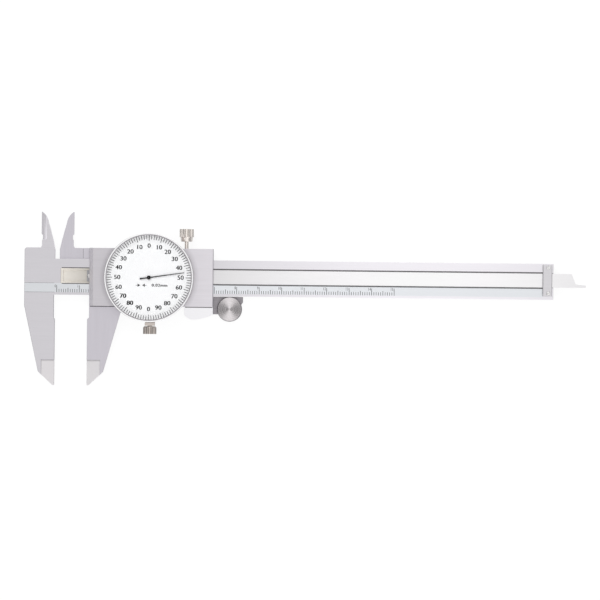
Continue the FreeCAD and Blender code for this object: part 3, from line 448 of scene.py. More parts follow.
def clear_crystal():
    """A clear plate with a faint smear."""
    finish = Finish("crystal")
    smear = finish.noise((9.0, 5.0, 9.0), 3.0)
    return finish.shade(
        base_color=(0.95, 0.97, 0.98, 1.0),
        roughness=smear * 0.02 + 0.01,
        transmission_weight=1.0,
        alpha=0.08,
        ior=1.49,
    )


bezel_chrome = polished("bezel_chrome", (0.95, 0.945, 0.955), 0.14)
nickel = polished("warm_nickel", (0.95, 0.89, 0.84), 0.26, 0.12)
# A darker copy of the nickel, for the clamp screw and the dial housing.
dark_nickel = polished("dark_nickel", (0.62, 0.56, 0.52), 0.3, 0.12)
dial_white = enamel("dial_enamel", (0.94, 0.94, 0.95))
ink = enamel("ink_black", (0.015, 0.015, 0.017), 0.6, 0.15)
# Dark for the etched print, and also for the painted shadow lines and the screws' painted dark rims.
etch_and_shade = enamel("etched_print_and_painted_shade", (0.085, 0.08, 0.085), 0.6, 0.2)
# The seal's grey is partly its own colour and partly painted shade inside the bezel's lip.
seal_and_shade_grey = enamel("seal_and_shade_grey", (0.30, 0.28, 0.30), 0.6)
pointer_black = enamel("pointer_black", (0.008, 0.008, 0.009), 0.45, 0.15)
crystal_clear = clear_crystal()
print("finishes so far:", len(bpy.data.materials))

# %% [markdown]
# A frame node keeps its shape and takes a finish through its material slots. A table names the finish of
# each node, and the loop clears what the frame came with.

# %% Dress the frame's own nodes
node_finish = {
    "rack": rack_steel,
    "rack_screws": screw_steel,
    "gib_strip": brass,
    "gib_screws": screw_steel,
    "depth_bar_screws": screw_steel,
    "roller_pin": screw_steel,
    "housing_screws": screw_steel,
    "pivot_bushes": brass,
    "movement_pillars": brass,
    "bridge_plate": brass,
    "bridge_screws": screw_steel,
    "dial_face": dial_white,
    "crystal": crystal_clear,
    "rack_pinion_arbor": rack_steel,
    "main_wheel": brass,
    "take_up_wheel": brass,
    "take_up_spring": rack_steel,
    "centre_arbor": pointer_black,
    "lock_tip": brass,
}


def dress(piece, material):
    piece.data.materials.clear()
    piece.data.materials.append(material)


for label, material in node_finish.items():
    dress(nodes[label], material)
print("dressed", len(node_finish), "nodes")

# %% [markdown]
# The same few moves come back with every piece: selecting it alone, opening it with nothing selected,
# picking vertices by their place, applying a modifier, and at the end hanging it on the body that it
# moves with. They are written down once.


# %% Moves that every piece needs
def only(piece):
    """Selects one object and makes it active."""
    bpy.ops.object.select_all(action="DESELECT")
    piece.select_set(True)
    bpy.context.view_layer.objects.active = piece


def open_edit(piece, mode="FACE"):
    """Opens a piece in edit mode with nothing selected."""
    only(piece)
    bpy.ops.object.mode_set(mode="EDIT")
    bpy.ops.mesh.select_mode(type=mode)
    bpy.ops.mesh.select_all(action="DESELECT")


def close_edit():
    bpy.ops.object.mode_set(mode="OBJECT")


def open_with(piece, picked):
    """Opens a piece in edit mode with the vertices selected whose places pass a test."""
    open_edit(piece, "VERT")
    close_edit()
    for vertex in piece.data.vertices:
        vertex.select = picked(vertex.co)
    bpy.ops.object.mode_set(mode="EDIT")


def apply_modifier(piece, kind, **settings):
    only(piece)
    modifier = piece.modifiers.new(kind.lower(), kind)
    for name, value in settings.items():
        setattr(modifier, name, value)
    bpy.ops.object.modifier_apply(modifier=modifier.name)


def settle(piece, name, body, material=None):
    """Names a finished piece and hangs it on its body."""
    piece.name = name
    piece.data.name = name
    if material:
        dress(piece, material)
    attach(piece, body)
    return piece


# %% [markdown]
# Ground steel never has a knife-sharp corner: each edge is eased by a tenth of a millimetre or so, and
# that thin line catches the light. The frame's meshes are loose triangles, so a copy is merged first, its
# flat faces are joined again, and a bevel then finds the real edges by their angle. The copy stands for
# the node.

# %% Ease the edges of the large steel parts
MERGE = 0.002 * MM
FLAT_BELOW = math.radians(0.5)
SMOOTH_BELOW = math.radians(30)
EASED_ABOVE = math.radians(35)


def eased_copy(label, width, material):
    """A copy of a node with its edges rounded, which replaces the node."""
    node = nodes[label]
    piece = node.copy()
    piece.data = node.data.copy()
    for key in list(piece.keys()):
        del piece[key]
    bpy.context.scene.collection.objects.link(piece)
    piece.parent = None
    open_edit(piece, "VERT")
    bpy.ops.mesh.select_all(action="SELECT")
    bpy.ops.mesh.remove_doubles(threshold=MERGE)
    bpy.ops.mesh.dissolve_limited(angle_limit=FLAT_BELOW)
    close_edit()
    apply_modifier(
        piece, "BEVEL", width=width * MM, segments=2, limit_method="ANGLE", angle_limit=EASED_ABOVE
    )
    bpy.ops.object.shade_smooth_by_angle(angle=SMOOTH_BELOW)
    apply_modifier(piece, "WEIGHTED_NORMAL", mode="FACE_AREA", weight=100, keep_sharp=True)
    settle(piece, f"{label}_eased", node["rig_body"], material)
    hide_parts(label)
    return piece


eased = {
    "beam": (0.12, head_steel),
    "slider_frame": (0.12, lit_slider_steel),
    "depth_bar": (0.05, bar_steel),
    "end_plate": (0.08, steel_x),
    "back_plate": (0.12, steel_x),
    # The roller's bracket is painted dark, a painted shade.
    "roller_bracket": (0.12, shade_dark_steel),
    "dial_housing": (0.15, dark_nickel),
    "lock_screw": (0.12, nickel),
    "bezel_clamp_screw": (0.12, dark_nickel),
}
made = {label: eased_copy(label, width, material) for label, (width, material) in eased.items()}
for piece in made.values():
    print(piece.name, len(piece.data.polygons), "faces")

# %% [markdown]
# One piece of steel is not finished alike all over. The beam is ground lengthwise and the jaws upright, the
# groove's floor is only milled, and the knife pockets get a lighter steel. The thumb tab and the bevels are
# painted lighter, as painted highlights. So each region of the large pieces gets its own finish, and a test
# on a face's middle and normal decides which.

# %% Finish each region of the large pieces
SHALLOW = 0.2 * MM
KNIFE_TILT = 0.999
TAB_LEFT = dial.x + 15.0 * MM
web_foot = centre_y - 12.8 * MM
jaw_top = centre_y + 12.9 * MM


def paint(piece, material, chosen):
    """Gives a second finish to the faces that the test picks."""
    piece.data.materials.append(material)
    index = len(piece.data.materials) - 1
    count = 0
    for face in piece.data.polygons:
        if chosen(face.center, face.normal):
            face.material_index = index
            count += 1
    print(piece.name, "faces in", material.name, count)


def on_beam(middle, normal):
    return middle.x > 0 or abs(middle.y - centre_y) < BEAM_HEIGHT / 2


def on_groove_floor(middle, normal):
    return middle.x > 0 and abs(middle.y - centre_y) < BEAM_HEIGHT / 4 and middle.z < beam_top - SHALLOW


def on_knife(middle, normal):
    return middle.y < KNIFE_START - SHALLOW and 0.5 < abs(normal.z) < KNIFE_TILT


def on_inside_knife(middle, normal):
    return middle.y > jaw_top + SHALLOW and 0.3 < normal.z < KNIFE_TILT


def on_web(middle, normal):
    return middle.z > beam_top + SHALLOW / 2


def on_bevel(middle, normal):
    return on_web(middle, normal) and normal.x < -0.5


def on_tab(middle, normal):
    return middle.x > TAB_LEFT and middle.y < web_foot


paint(made["beam"], beam_steel, on_beam)
paint(made["beam"], milled_steel, on_groove_floor)
paint(made["beam"], knife_steel, on_knife)
# The lighter bevel steel is a painted highlight.
paint(made["beam"], lit_bevel_steel, on_inside_knife)
paint(made["slider_frame"], web_steel, on_web)
paint(made["slider_frame"], lit_bevel_steel, on_bevel)
paint(made["slider_frame"], lit_knife_steel, on_knife)
# The lighter tab steel is a painted highlight.
paint(made["slider_frame"], lit_tab_steel, on_tab)

# %% [markdown]
# Flat printed work is built from thin slabs. A slab starts as one block, gets its size from its two corners
# and is two hundredths of a millimetre thick, which is enough to keep it clear of the metal. Lettering is
# Blender's own text made a mesh. The printed figures are heavier than the font, and thickening its outlines
# would close the small loops, so a second copy lies a little to the side of the first.

# %% Thin slabs and lettering
PRINT = 0.02 * MM
CAPITAL_SHARE = 0.73


def bake(piece):
    """Moves an object's place, turn and scale into its mesh."""
    only(piece)
    bpy.ops.object.transform_apply(location=True, rotation=True, scale=True)
    return piece


def slab(low, high, z):
    """A thin printed rectangle between two corners, on a face at height z."""
    middle = ((low[0] + high[0]) / 2, (low[1] + high[1]) / 2, z + PRINT / 2)
    bpy.ops.mesh.primitive_cube_add(size=1.0, location=middle)
    piece = bpy.context.object
    piece.scale = (high[0] - low[0], high[1] - low[1], PRINT)
    return bake(piece)


def joined(pieces):
    only(pieces[0])
    for piece in pieces:
        piece.select_set(True)
    bpy.ops.object.join()
    return bpy.context.object


def lettering(words, place, height, align="CENTER", narrow=0.85, bold=0.0, spacing=1.0):
    """Upright words of a given capital height as a thin mesh, bold by a share of that height."""
    bpy.ops.object.text_add(location=place)
    text = bpy.context.object
    text.data.body = words
    text.data.align_x = align
    text.data.align_y = "CENTER"
    text.data.size = height / CAPITAL_SHARE
    text.data.space_character = spacing
    text.data.extrude = PRINT / 2
    text.data.resolution_u = 3
    text.scale = (narrow, 1, 1)
    bpy.ops.object.convert(target="MESH")
    words = bake(bpy.context.object)
    if not bold:
        return words
    bpy.ops.object.duplicate()
    twin = bpy.context.object
    for piece, side in ((words, -1), (twin, 1)):
        piece.location.x = side * bold * height / 2
        bake(piece)
    return joined([words, twin])


print("print thickness in mm", round(PRINT / MM, 3))

# %% [markdown]
# The dial has one hundred marks, each worth two hundredths of a millimetre. One mark is drawn at the top and
# spun round the dial's centre as separate copies, and a longer one is spun twenty to the turn and laid over
# it. The numbers stay upright, as on the real dial, and count both ways from the top. The left 70 and 80 are
# printed a little heavier than the rest.

# %% Print the dial
MARKS, LONG_MARKS = 100, 20
MARK_OUT, MARK_IN, LONG_IN = 18.68 * MM, 16.9 * MM, 16.3 * MM
MARK_WIDTH = 0.24 * MM
LONG_WIDTH = MARK_WIDTH * 1.05
NUMBER_RING = 14.05 * MM
NUMBER_HEIGHT = 2.0 * MM
UNITS = 200
HEAVY_NUMBERS = {70, 80}
HEAVY, PLAIN = 0.13, 0.08


def spun_marks(inner, count, width):
    """Equal marks all round the dial, from one that is drawn at the top."""
    low = (dial.x - width / 2, dial.y + inner)
    high = (dial.x + width / 2, dial.y + MARK_OUT)
    mark = slab(low, high, dial.z)
    open_edit(mark)
    bpy.ops.mesh.select_all(action="SELECT")
    turn = 2 * math.pi * (count - 1) / count
    bpy.ops.mesh.spin(steps=count - 1, dupli=True, angle=turn, center=dial, axis=(0, 0, 1))
    close_edit()
    return mark


marks = [spun_marks(MARK_IN, MARKS, MARK_WIDTH), spun_marks(LONG_IN, LONG_MARKS, LONG_WIDTH)]
for value in range(0, UNITS, 10):
    shown = min(value, UNITS - value) % 100
    angle = 2 * math.pi * value / UNITS
    place = (dial.x + NUMBER_RING * math.sin(angle), dial.y + NUMBER_RING * math.cos(angle), dial.z + PRINT)
    bold = HEAVY if shown in HEAVY_NUMBERS and value > UNITS / 2 else PLAIN
    marks.append(lettering(str(shown), place, NUMBER_HEIGHT, narrow=1.06, bold=bold))
dial_print = settle(joined(marks), "dial_print", "bezel", ink)
print("dial print", len(dial_print.data.polygons), "faces")

# %% [markdown]
# Below the centre stands the value of one mark, with two small arrows beside it that point at each other.
# An arrow is a three-sided cylinder for its head and a slab for its line.

# %% Print the note
NOTE_X, NOTE_Y = dial.x + 4.8 * MM, dial.y - 3.42 * MM
NOTE_HEIGHT = 1.3 * MM
ARROW = 0.8 * MM
ARROW_LINE = 0.08 * MM


def small_arrow(tip, length, side):
    """An arrow whose tip points to the right, side 1, or to the left, side -1."""
    foot = tip - ARROW * side
    bpy.ops.mesh.primitive_cylinder_add(
        vertices=3, radius=ARROW, depth=PRINT, location=(foot, NOTE_Y, dial.z + PRINT / 2)
    )
    head = bpy.context.object
    head.rotation_euler.z = -math.pi / 2 * side
    ends = sorted((foot, tip - length * side))
    line = slab((ends[0], NOTE_Y - ARROW_LINE), (ends[1], NOTE_Y + ARROW_LINE), dial.z)
    return [bake(head), line]


place = (NOTE_X, NOTE_Y, dial.z + PRINT)
note = [lettering("0.02mm", place, NOTE_HEIGHT, narrow=1.1, bold=0.12, spacing=1.12)]
note += small_arrow(dial.x - 3.75 * MM, 2.1 * MM, 1)
note += small_arrow(dial.x - 2.95 * MM, 2.0 * MM, -1)
dial_note = settle(joined(note), "dial_note", "bezel", ink)
print("dial note", len(dial_note.data.polygons), "faces")

# %% [markdown]
# A small white eyelet lines the hole in the dial's middle, where the pointer's arbor comes through. It is a
# torus with few segments, pressed flat.

# %% Line the dial's eye
bpy.ops.mesh.primitive_torus_add(
    location=(dial.x, dial.y, dial.z + 0.05 * MM),
    major_segments=48,
    minor_segments=8,
    major_radius=1.0 * MM,
    minor_radius=0.28 * MM,
)
eyelet = bpy.context.object
eyelet.scale.z = 0.16
bake(eyelet)
bpy.ops.object.shade_smooth()
settle(eyelet, "dial_eyelet", "bezel", dial_white)
print("eyelet", len(eyelet.data.polygons), "faces")

# %% [markdown]
# The beam carries a scale of millimetres. It sits on a paler band of satin chrome with a fine dark edge,
# and each centimetre has a long mark with its number on the left. The marks are one slab repeated by an
# Array modifier, which is the quickest way to make equal steps along a line.

# %% Etch the beam's scale
ZERO_X = 0.84 * MM
BAND_TOP, BAND_BOTTOM = centre_y - 2.76 * MM, centre_y - 6.85 * MM
BAND_LEFT, BAND_END = beam_low.x + 0.13 * MM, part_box("end_plate")[0].x
BAND_EDGE = 0.05 * MM
SCALE_MARK = 0.11 * MM
MARK_LEVELS = {1: 5.4 * MM, 5: 4.9 * MM, 10: 3.75 * MM}
LAST_MARK = 150
SCALE_HEIGHT = 1.3 * MM
SCALE_LEVEL = centre_y - 4.2 * MM


def row_of_marks(step):
    """The marks at every so many millimetres."""
    low = (ZERO_X - SCALE_MARK, BAND_BOTTOM)
    high = (ZERO_X + SCALE_MARK, centre_y - MARK_LEVELS[step])
    mark = slab(low, high, beam_top + PRINT)
    apply_modifier(
        mark,
        "ARRAY",
        count=LAST_MARK // step + 1,
        use_relative_offset=False,
        use_constant_offset=True,
        constant_offset_displace=(step * MM, 0, 0),
    )
    return mark


band = slab((BAND_LEFT, BAND_BOTTOM), (BAND_END, BAND_TOP), beam_top)
settle(band, "scale_band", "beam", band_chrome)
rows = [row_of_marks(step) for step in MARK_LEVELS]
for centimetre in range(LAST_MARK // 10 + 1):
    place = (ZERO_X + (centimetre * 10 - 0.3) * MM, SCALE_LEVEL, beam_top + PRINT * 2)
    rows.append(lettering(str(centimetre), place, SCALE_HEIGHT, align="RIGHT", narrow=0.8))
for edge in (BAND_TOP, BAND_BOTTOM):
    rows.append(slab((BAND_LEFT, edge - BAND_EDGE), (-0.2 * MM, edge + BAND_EDGE), beam_top + PRINT))
beam_scale = settle(joined(rows), "beam_scale", "beam", etch_and_shade)
print("beam scale", len(beam_scale.data.polygons), "faces")

# %% [markdown]
# Seen from above, narrow gaps and steps read as dark lines: both sides of the depth bar's groove, the step
# beside the moving inside jaw, and the slider's foot over the jaw and the thumb tab. Real gaps this narrow
# fill with light from the pale studio, so each gets a thin dark slab along it, a painted shadow line.

# %% Draw the painted shadow lines
INSET = 0.3 * MM
HALF_GAP = 0.05 * MM
STEP_LINE, FOOT_LINE, FOOT_CLEAR = 0.14 * MM, 0.34 * MM, 0.01 * MM
GROOVE_START = 3.0 * MM
GROOVE_GAP, GROOVE_LINE = 0.26 * MM, 0.34 * MM
web_left = rack_low.x + 1.09 * MM
step_left = web_left - 3.0 * MM
jaw_face = (beam_low.z + beam_high.z) / 2 - HALF_GAP
lines = [slab((step_left, gib_low.y + INSET), (step_left + STEP_LINE, jaw_top - INSET), jaw_face)]
feet = (
    (web_left + INSET, web_left + 17.0 * MM, beam_top),
    (dial.x + 16.0 * MM, frame_high.x - 0.2 * MM, frame_high.z - 0.25 * MM),
)
for left, right, z in feet:
    lines.append(slab((left, web_foot - FOOT_LINE), (right, web_foot - FOOT_CLEAR), z))
settle(joined(lines), "slider_shadow_lines", "slider", etch_and_shade)
bar_low, bar_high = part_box("depth_bar")
line_low, line_high = bar_low.y - GROOVE_GAP, bar_high.y + GROOVE_GAP
grooves = [
    slab((GROOVE_START, line_low - GROOVE_LINE), (BAND_END, line_low), beam_top + PRINT),
    slab((GROOVE_START, line_high), (BAND_END, line_high + GROOVE_LINE), beam_top),
]
settle(joined(grooves), "groove_shadow_lines", "beam", etch_and_shade)
print("groove lines at y", round(line_low / MM, 2), "and", round(line_high / MM, 2))

# %% [markdown]
# The bezel is one turned ring, so its section is drawn once and spun. The profile goes round the section:
# a coin edge, a narrow neck, a polished lip that rolls over to the inside, the crystal's seat and the bore.
# After the spin every second column of the coin edge is pushed inwards, which cuts the flutes. A grey seal is
# spun the same way and closes the joint between the lip and the crystal; its dark grey also stands in for the
# shade inside the lip, as painted shade.

# %% Turn the bezel ring
BEZEL_STEPS, SEAL_STEPS = 240, 160
FLUTE = 0.16 * MM
RING_SMOOTH = math.radians(25)


def spun_ring(name, profile, steps, centre=dial):
    """A ring about an upright axis, spun from the (radius, height) corners of its section in mm."""
    mesh = bpy.data.meshes.new(name)
    corners = [(centre.x + radius * MM, centre.y, height * MM) for radius, height in profile]
    edges = [(i, (i + 1) % len(corners)) for i in range(len(corners))]
    mesh.from_pydata(corners, edges, [])
    ring = bpy.data.objects.new(name, mesh)
    bpy.context.scene.collection.objects.link(ring)
    open_edit(ring, "VERT")
    bpy.ops.mesh.select_all(action="SELECT")
    bpy.ops.mesh.spin(steps=steps, angle=2 * math.pi, center=centre, axis=(0, 0, 1))
    bpy.ops.mesh.select_all(action="SELECT")
    bpy.ops.mesh.remove_doubles(threshold=MERGE)
    bpy.ops.mesh.normals_make_consistent(inside=False)
    close_edit()
    return ring


def flute(ring, centre, radius, span, steps, depth):
    """Pushes every second column of a spun rim inwards between two heights in mm."""

    def in_flute(spot):
        offset = spot.xy - centre.xy
        column = round(math.atan2(offset.y, offset.x) % (2 * math.pi) / (2 * math.pi) * steps)
        inside = span[0] - 0.01 < spot.z / MM < span[1] + 0.01
        return column % 2 == 1 and inside and offset.length > radius * 0.99

    open_with(ring, in_flute)
    shrink = 1 - depth / radius
    bpy.ops.transform.resize(value=(shrink, shrink, 1), center_override=centre)
    close_edit()
    bpy.ops.object.shade_smooth_by_angle(angle=RING_SMOOTH)


bezel_low, bezel_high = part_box("bezel_ring")
crystal_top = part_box("crystal")[1].z / MM
bezel_radius = (bezel_high.y - bezel_low.y) / 2
outer = bezel_radius / MM - 0.02
seat = ((face_high.x - face_low.x) / 2 + 0.03 * MM) / MM
ring_low, ring_high = bezel_low.z / MM, bezel_high.z / MM
face_seat = face_low.z / MM
coin = (ring_low + 0.25, ring_high - 1.75)
ring_profile = [
    (outer - 0.2, ring_low),
    (outer, coin[0]),
    (outer, coin[1]),
    (outer - 0.4, coin[1] + 0.15),
    (outer - 0.4, coin[1] + 0.35),
    (outer - 0.04, coin[1] + 0.5),
    (outer, ring_high - 0.2),
    (outer - 0.05, ring_high - 0.07),
    (outer - 0.14, ring_high - 0.01),
    (seat + 0.04, ring_high - 0.02),
    (seat, ring_high - 0.1),
    (seat, face_seat),
    (seat - 0.6, face_seat),
    (seat - 0.6, ring_low),
]
ring = spun_ring("bezel_turned", ring_profile, BEZEL_STEPS)
flute(ring, dial, bezel_radius, coin, BEZEL_STEPS, FLUTE)
settle(ring, "bezel_ring_turned", "bezel", bezel_chrome)
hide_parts("bezel_ring")

seal_profile = [
    (seat - 0.4, crystal_top + 0.005),
    (seat - 0.02, crystal_top + 0.005),
    (seat - 0.02, crystal_top + 0.1),
    (seat - 0.2, crystal_top + 0.1),
]
seal = spun_ring("crystal_seal", seal_profile, SEAL_STEPS)
bpy.ops.object.shade_smooth_by_angle(angle=RING_SMOOTH)
settle(seal, "crystal_seal", "bezel", seal_and_shade_grey)
print("bezel", len(ring.data.polygons), "faces, seal", len(seal.data.polygons))

# %% [markdown]
# The pointer is a thin pressed blade on a small turned hub, all in satin black. The construction's blade is
# sturdier, so a slimmer one stands for it: a flat bar, whose far end is scaled down to a fine tip, with a
# small round weight on its tail. The hub is spun like the rings before it and fits round its arbor.

# %% Model the pointer
BLADE_WIDTH, BLADE_THICKNESS = 0.56 * MM, 0.15 * MM
TIP_SHARE = 0.46
TAIL_LENGTH, TAIL_RADIUS = 4.05 * MM, 0.36 * MM
HUB_RADIUS, HUB_BORE, HUB_EASE = 0.88, 0.61, 0.06
HUB_STEPS = 48
pointer_low, pointer_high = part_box("pointer")


def pointing():
    """How far the frame's pointer reaches and in which direction, from the far points of its mesh."""
    offsets = [vertex.co.xy - dial.xy for vertex in nodes["pointer"].data.vertices]
    reach = max(offset.length for offset in offsets)
    aim = sum((offset for offset in offsets if offset.length > 0.9 * reach), Vector((0, 0)))
    return reach, math.atan2(aim.y, aim.x)


def slim_blade(reach, aim):
    """A blade from the tail to the tip, tapered beyond the hub and turned to where it points."""
    blade_z = pointer_low.z + BLADE_THICKNESS / 2
    bpy.ops.mesh.primitive_cube_add(size=1.0, location=((reach - TAIL_LENGTH) / 2, 0, blade_z))
    blade = bpy.context.object
    blade.scale = (reach + TAIL_LENGTH, BLADE_WIDTH, BLADE_THICKNESS)
    bake(blade)
    open_with(blade, lambda spot: spot.x > 0)
    bpy.ops.transform.resize(value=(1, TIP_SHARE, 1))
    close_edit()
    tail = (TAIL_RADIUS - TAIL_LENGTH, 0, blade_z)
    bpy.ops.mesh.primitive_cylinder_add(vertices=24, radius=TAIL_RADIUS, depth=BLADE_THICKNESS, location=tail)
    piece = joined([blade, bake(bpy.context.object)])
    piece.location = (dial.x, dial.y, 0)
    piece.rotation_euler.z = aim
    return bake(piece)


hub_low, hub_high = pointer_low.z / MM, pointer_high.z / MM
hub_profile = [
    (HUB_BORE, hub_low),
    (HUB_RADIUS, hub_low),
    (HUB_RADIUS, hub_high - HUB_EASE),
    (HUB_RADIUS - HUB_EASE, hub_high),
    (HUB_BORE, hub_high),
]
hub = spun_ring("pointer_hub", hub_profile, HUB_STEPS)
blade = slim_blade(*pointing())
pointer = settle(joined([blade, hub]), "pointer_blade", "pointer", pointer_black)
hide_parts("pointer")
print("pointer hub from", round(hub_low, 2), "to", round(hub_high, 2))

# %% [markdown]
# The thumb roller is turned too. Its upper face is cut with fine concentric ridges, and they are modelled
# rather than painted: each ridge sends the light to both sides, which makes the bright and dark fans that a
# turned face shows. Its rim is painted dark, as painted shade, and at the end the whole is scaled down by a
# tenth of a millimetre, so that it runs clear of the beam.

# %% Turn the thumb roller
RIDGE_STEP, RIDGE_DEPTH = 0.25, 0.045
ROLLER_STEPS = 120
ROLLER_CLEAR = 0.1 * MM
ROLLER_EASE = 0.3
PIN_RADIUS, PIN_RECESS = 1.03, 0.7
roller_radius = (roller_high.x - roller_low.x) / 2
rim = roller_radius / MM - 0.01
face_edge = rim - ROLLER_EASE
shrink = 1 - ROLLER_CLEAR / (roller_radius - 0.01 * MM)
roller_foot, roller_face = roller_low.z / MM + 0.01, roller_high.z / MM - 0.01
roller_profile = [
    (PIN_RADIUS, roller_foot),
    (face_edge, roller_foot),
    (rim, roller_foot + 0.3),
    (rim, roller_face - 0.35),
    (face_edge, roller_face),
]
ridges = int((face_edge - 0.2) / RIDGE_STEP * 2)
for i in range(1, ridges):
    roller_profile.append((face_edge - i * RIDGE_STEP / 2, roller_face - RIDGE_DEPTH * (i % 2)))
roller_profile += [
    (0.01, roller_face - RIDGE_DEPTH),
    (0.01, roller_face - PIN_RECESS),
    (PIN_RADIUS, roller_face - PIN_RECESS),
]
roller = spun_ring("thumb_roller_turned", roller_profile, ROLLER_STEPS, roller_centre)
open_edit(roller, "VERT")
bpy.ops.mesh.select_all(action="SELECT")
bpy.ops.transform.resize(value=(shrink, shrink, 1), center_override=roller_centre)
close_edit()
bpy.ops.object.shade_smooth_by_angle(angle=RING_SMOOTH)
settle(roller, "thumb_roller_turned", "thumb_roller", roller_steel)
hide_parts("thumb_roller")


def on_roller_rim(middle, normal):
    return (middle - roller_centre).xy.length > (face_edge + 0.02) * MM


# The rim gets the dark steel, a painted shade.
paint(roller, shade_dark_steel, on_roller_rim)
print("roller", len(roller.data.polygons), "faces")

# %% [markdown]
# Slotted screws hold the end plate, the rack, the back plate and the roller's bracket. Each head is a short
# cylinder with its rim bevelled, and a Boolean cuts the driver's slot across it. The slots point anywhere,
# as they do when a screw is tightened by feel. The bevelled rims are painted dark, because in the real
# counterbores they lie in shade and outline the head.

# %% Cut slotted screws
SLOT_WIDTH, SLOT_DEPTH = 0.26 * MM, 0.22 * MM
RIM = 0.12 * MM
RIM_ABOVE = math.radians(40)
HEAD_DEPTH = 0.46 * MM
SHANK_RADIUS, SHANK_LENGTH = 0.55 * MM, 1.2 * MM
SUNK = 0.01 * MM
APART = 2.0 * MM
TURNS = (25, 110, 70, 160)


def slotted_screw(place, radius, depth, facing, turn):
    """A slotted head and shank: place is the head's outer face, and facing is 1 for up or -1 for down."""
    pieces = []
    for size, length, start in ((radius, depth, 0.0), (SHANK_RADIUS, SHANK_LENGTH, depth)):
        middle = (place[0], place[1], place[2] - facing * (start + length / 2))
        bpy.ops.mesh.primitive_cylinder_add(vertices=40, radius=size, depth=length, location=middle)
        pieces.append(bake(bpy.context.object))
    head = pieces[0]
    bpy.ops.mesh.primitive_cube_add(size=1.0, location=place)
    driver = bpy.context.object
    driver.scale = (radius * 3, SLOT_WIDTH, SLOT_DEPTH * 2)
    driver.rotation_euler.z = turn
    bake(driver)
    apply_modifier(head, "BOOLEAN", operation="DIFFERENCE", object=driver)
    bpy.data.objects.remove(driver)
    apply_modifier(head, "BEVEL", width=RIM, segments=2, limit_method="ANGLE", angle_limit=RIM_ABOVE)
    bpy.ops.object.shade_smooth_by_angle(angle=SMOOTH_BELOW)
    return joined(pieces)


def islands(label):
    """The middle of each separate screw in a node, as (x, y), found by the gaps between their places."""
    places = []
    for vertex in nodes[label].data.vertices:
        spot = vertex.co.xy
        near = [group for group in places if (group[0] / group[1] - spot).length < APART]
        if near:
            near[0][0] += spot
            near[0][1] += 1
        else:
            places.append([spot.copy(), 1])
    return [group[0] / group[1] for group in places]


def on_rim(middle, normal):
    return 0.15 < abs(normal.z) < 0.97


screw_rows = {
    "end_plate_screws": (0.87, 1, "beam"),
    "rack_screws": (0.87, 1, "beam"),
    "back_plate_screws": (1.07, -1, "slider"),
    "bracket_screws": (1.07, -1, "slider"),
}
for label, (radius, facing, body) in screw_rows.items():
    node_low, node_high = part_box(label)
    face = (node_high.z - SUNK) if facing > 0 else (node_low.z + SUNK)
    heads = []
    for turn, spot in zip(TURNS, islands(label)):
        place = (spot.x, spot.y, face)
        heads.append(slotted_screw(place, radius * MM, HEAD_DEPTH, facing, math.radians(turn)))
    piece = settle(joined(heads), f"{label}_slotted", body, screw_steel)
    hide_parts(label)
    paint(piece, etch_and_shade, on_rim)

# %% [markdown]
# The floor is a plain pale sheet far larger than the caliper. It should look white to the camera and still
# hold a soft shadow, so most of what the camera sees of it is its own even white and the rest is lit paint.
# Reflections see a dimmer white, so that the undersides of edges keep their form.

# %% Lay the floor
SEEN_WHITE, MIRRORED_WHITE = 1.06, 0.62
EVEN_SHARE = 0.85


def sights(finish):
    """Two values that are 1 for what the camera sees itself, and for what a reflection sees."""
    return [finish.node("LightPath", {}, {}, name) for name in ("Is Camera Ray", "Is Glossy Ray")]


def white_floor():
    bpy.ops.mesh.primitive_plane_add(size=6.0, location=(dial.x, centre_y, cad_box[0].z))
    floor = bpy.context.object
    floor.name = "floor"
    finish = Finish("floor")
    finish.shade(base_color=(0.88, 0.88, 0.88, 1.0), roughness=0.9)
    direct, mirrored = sights(finish)
    strength = direct * (SEEN_WHITE - MIRRORED_WHITE) + MIRRORED_WHITE
    glow = finish.node("Emission", {}, {"Color": (1.0, 1.0, 1.0, 1.0), "Strength": strength})
    seen = finish.math("MAXIMUM", direct, mirrored) * EVEN_SHARE
    lit = Flow(finish, finish.shader.outputs[0])
    mixed = finish.node("MixShader", {}, {0: seen, 1: lit, 2: glow})
    finish.feed(finish.tree.nodes["Material Output"], {"Surface": mixed})
    floor.data.materials.append(finish.material)
    floor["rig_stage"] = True
    return floor


print("floor at z", round(white_floor().location.z / MM, 2))

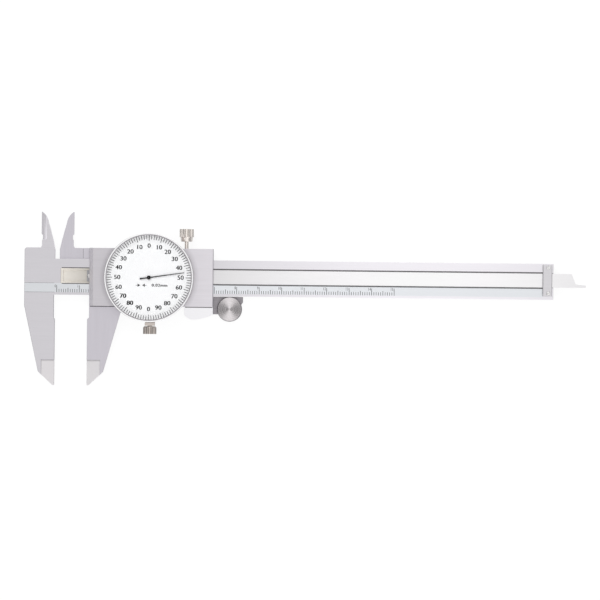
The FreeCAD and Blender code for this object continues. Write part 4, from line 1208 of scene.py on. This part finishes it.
# %% [markdown]
# The world is plain white to the camera. Turned and ground steel mirror their surroundings, so reflections
# see a studio that is brighter above and below than at the sides, and a little brighter on the right. The
# two softboxes give the soft shadow. Flat steel would mirror them as a white glare, so reflections skip
# the lamps.

# %% World and lamps
ROOM_LEVEL = 0.85
STUDIO_LEVEL, STUDIO_LOW, STUDIO_HIGH = 0.98, 0.34, 1.35


def studio_world():
    """White for the camera, a studio for reflections and an even room for all other light."""
    world = bpy.data.worlds.new("studio")
    world.use_nodes = True
    bpy.context.scene.world = world
    finish = Finish("world", world.node_tree)
    direction = finish.node("TexCoord", {}, {}, "Generated")
    side = finish.node("SeparateXYZ", {}, {"Vector": direction}, "X")
    fore = finish.node("SeparateXYZ", {}, {"Vector": direction}, "Y")
    direct, mirrored = sights(finish)
    fans = fore * fore * 0.9 - side * side * 1.9
    studio = finish.held(side * 0.5 + fans + STUDIO_LEVEL, STUDIO_LOW, STUDIO_HIGH)
    level = mirrored * studio + (1.0 - mirrored) * ROOM_LEVEL
    strength = direct + (1.0 - direct) * level
    background = finish.tree.nodes["Background"]
    finish.feed(background, {"Color": (1.0, 1.0, 1.0, 1.0), "Strength": strength})


def soft_lamp(name, place, size, power):
    """A square softbox that faces the caliper's dial and that reflections skip."""
    bpy.ops.object.light_add(type="AREA", location=place)
    lamp = bpy.context.object
    lamp.name = name
    lamp.visible_glossy = False
    lamp.data.size = size
    lamp.data.energy = power
    aim = Vector((dial.x, centre_y, 0)) - Vector(place)
    lamp.rotation_euler = aim.to_track_quat("-Z", "Y").to_euler()


studio_world()
soft_lamp("key_softbox", (-0.2, 0.75, 0.75), 0.5, 3.0)
soft_lamp("fill_softbox", (0.15, -0.75, 0.6), 0.7, 1.2)
bpy.context.scene.view_settings.view_transform = "Standard"
print("lamps:", len(bpy.data.lights))

# %% [markdown]
# Before the script ends it notes the construction's box and the box of everything that shows, so that
# the two can be compared: the finish must not make the caliper any larger.

# %% Note the sizes and finish
bpy.ops.object.select_all(action="DESELECT")
shown_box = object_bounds()
sizes = {"cad": [list(corner) for corner in cad_box], "visual": [list(corner) for corner in shown_box]}
for name, box in sizes.items():
    print(name, "box", [[round(c / MM, 2) for c in corner] for corner in box])
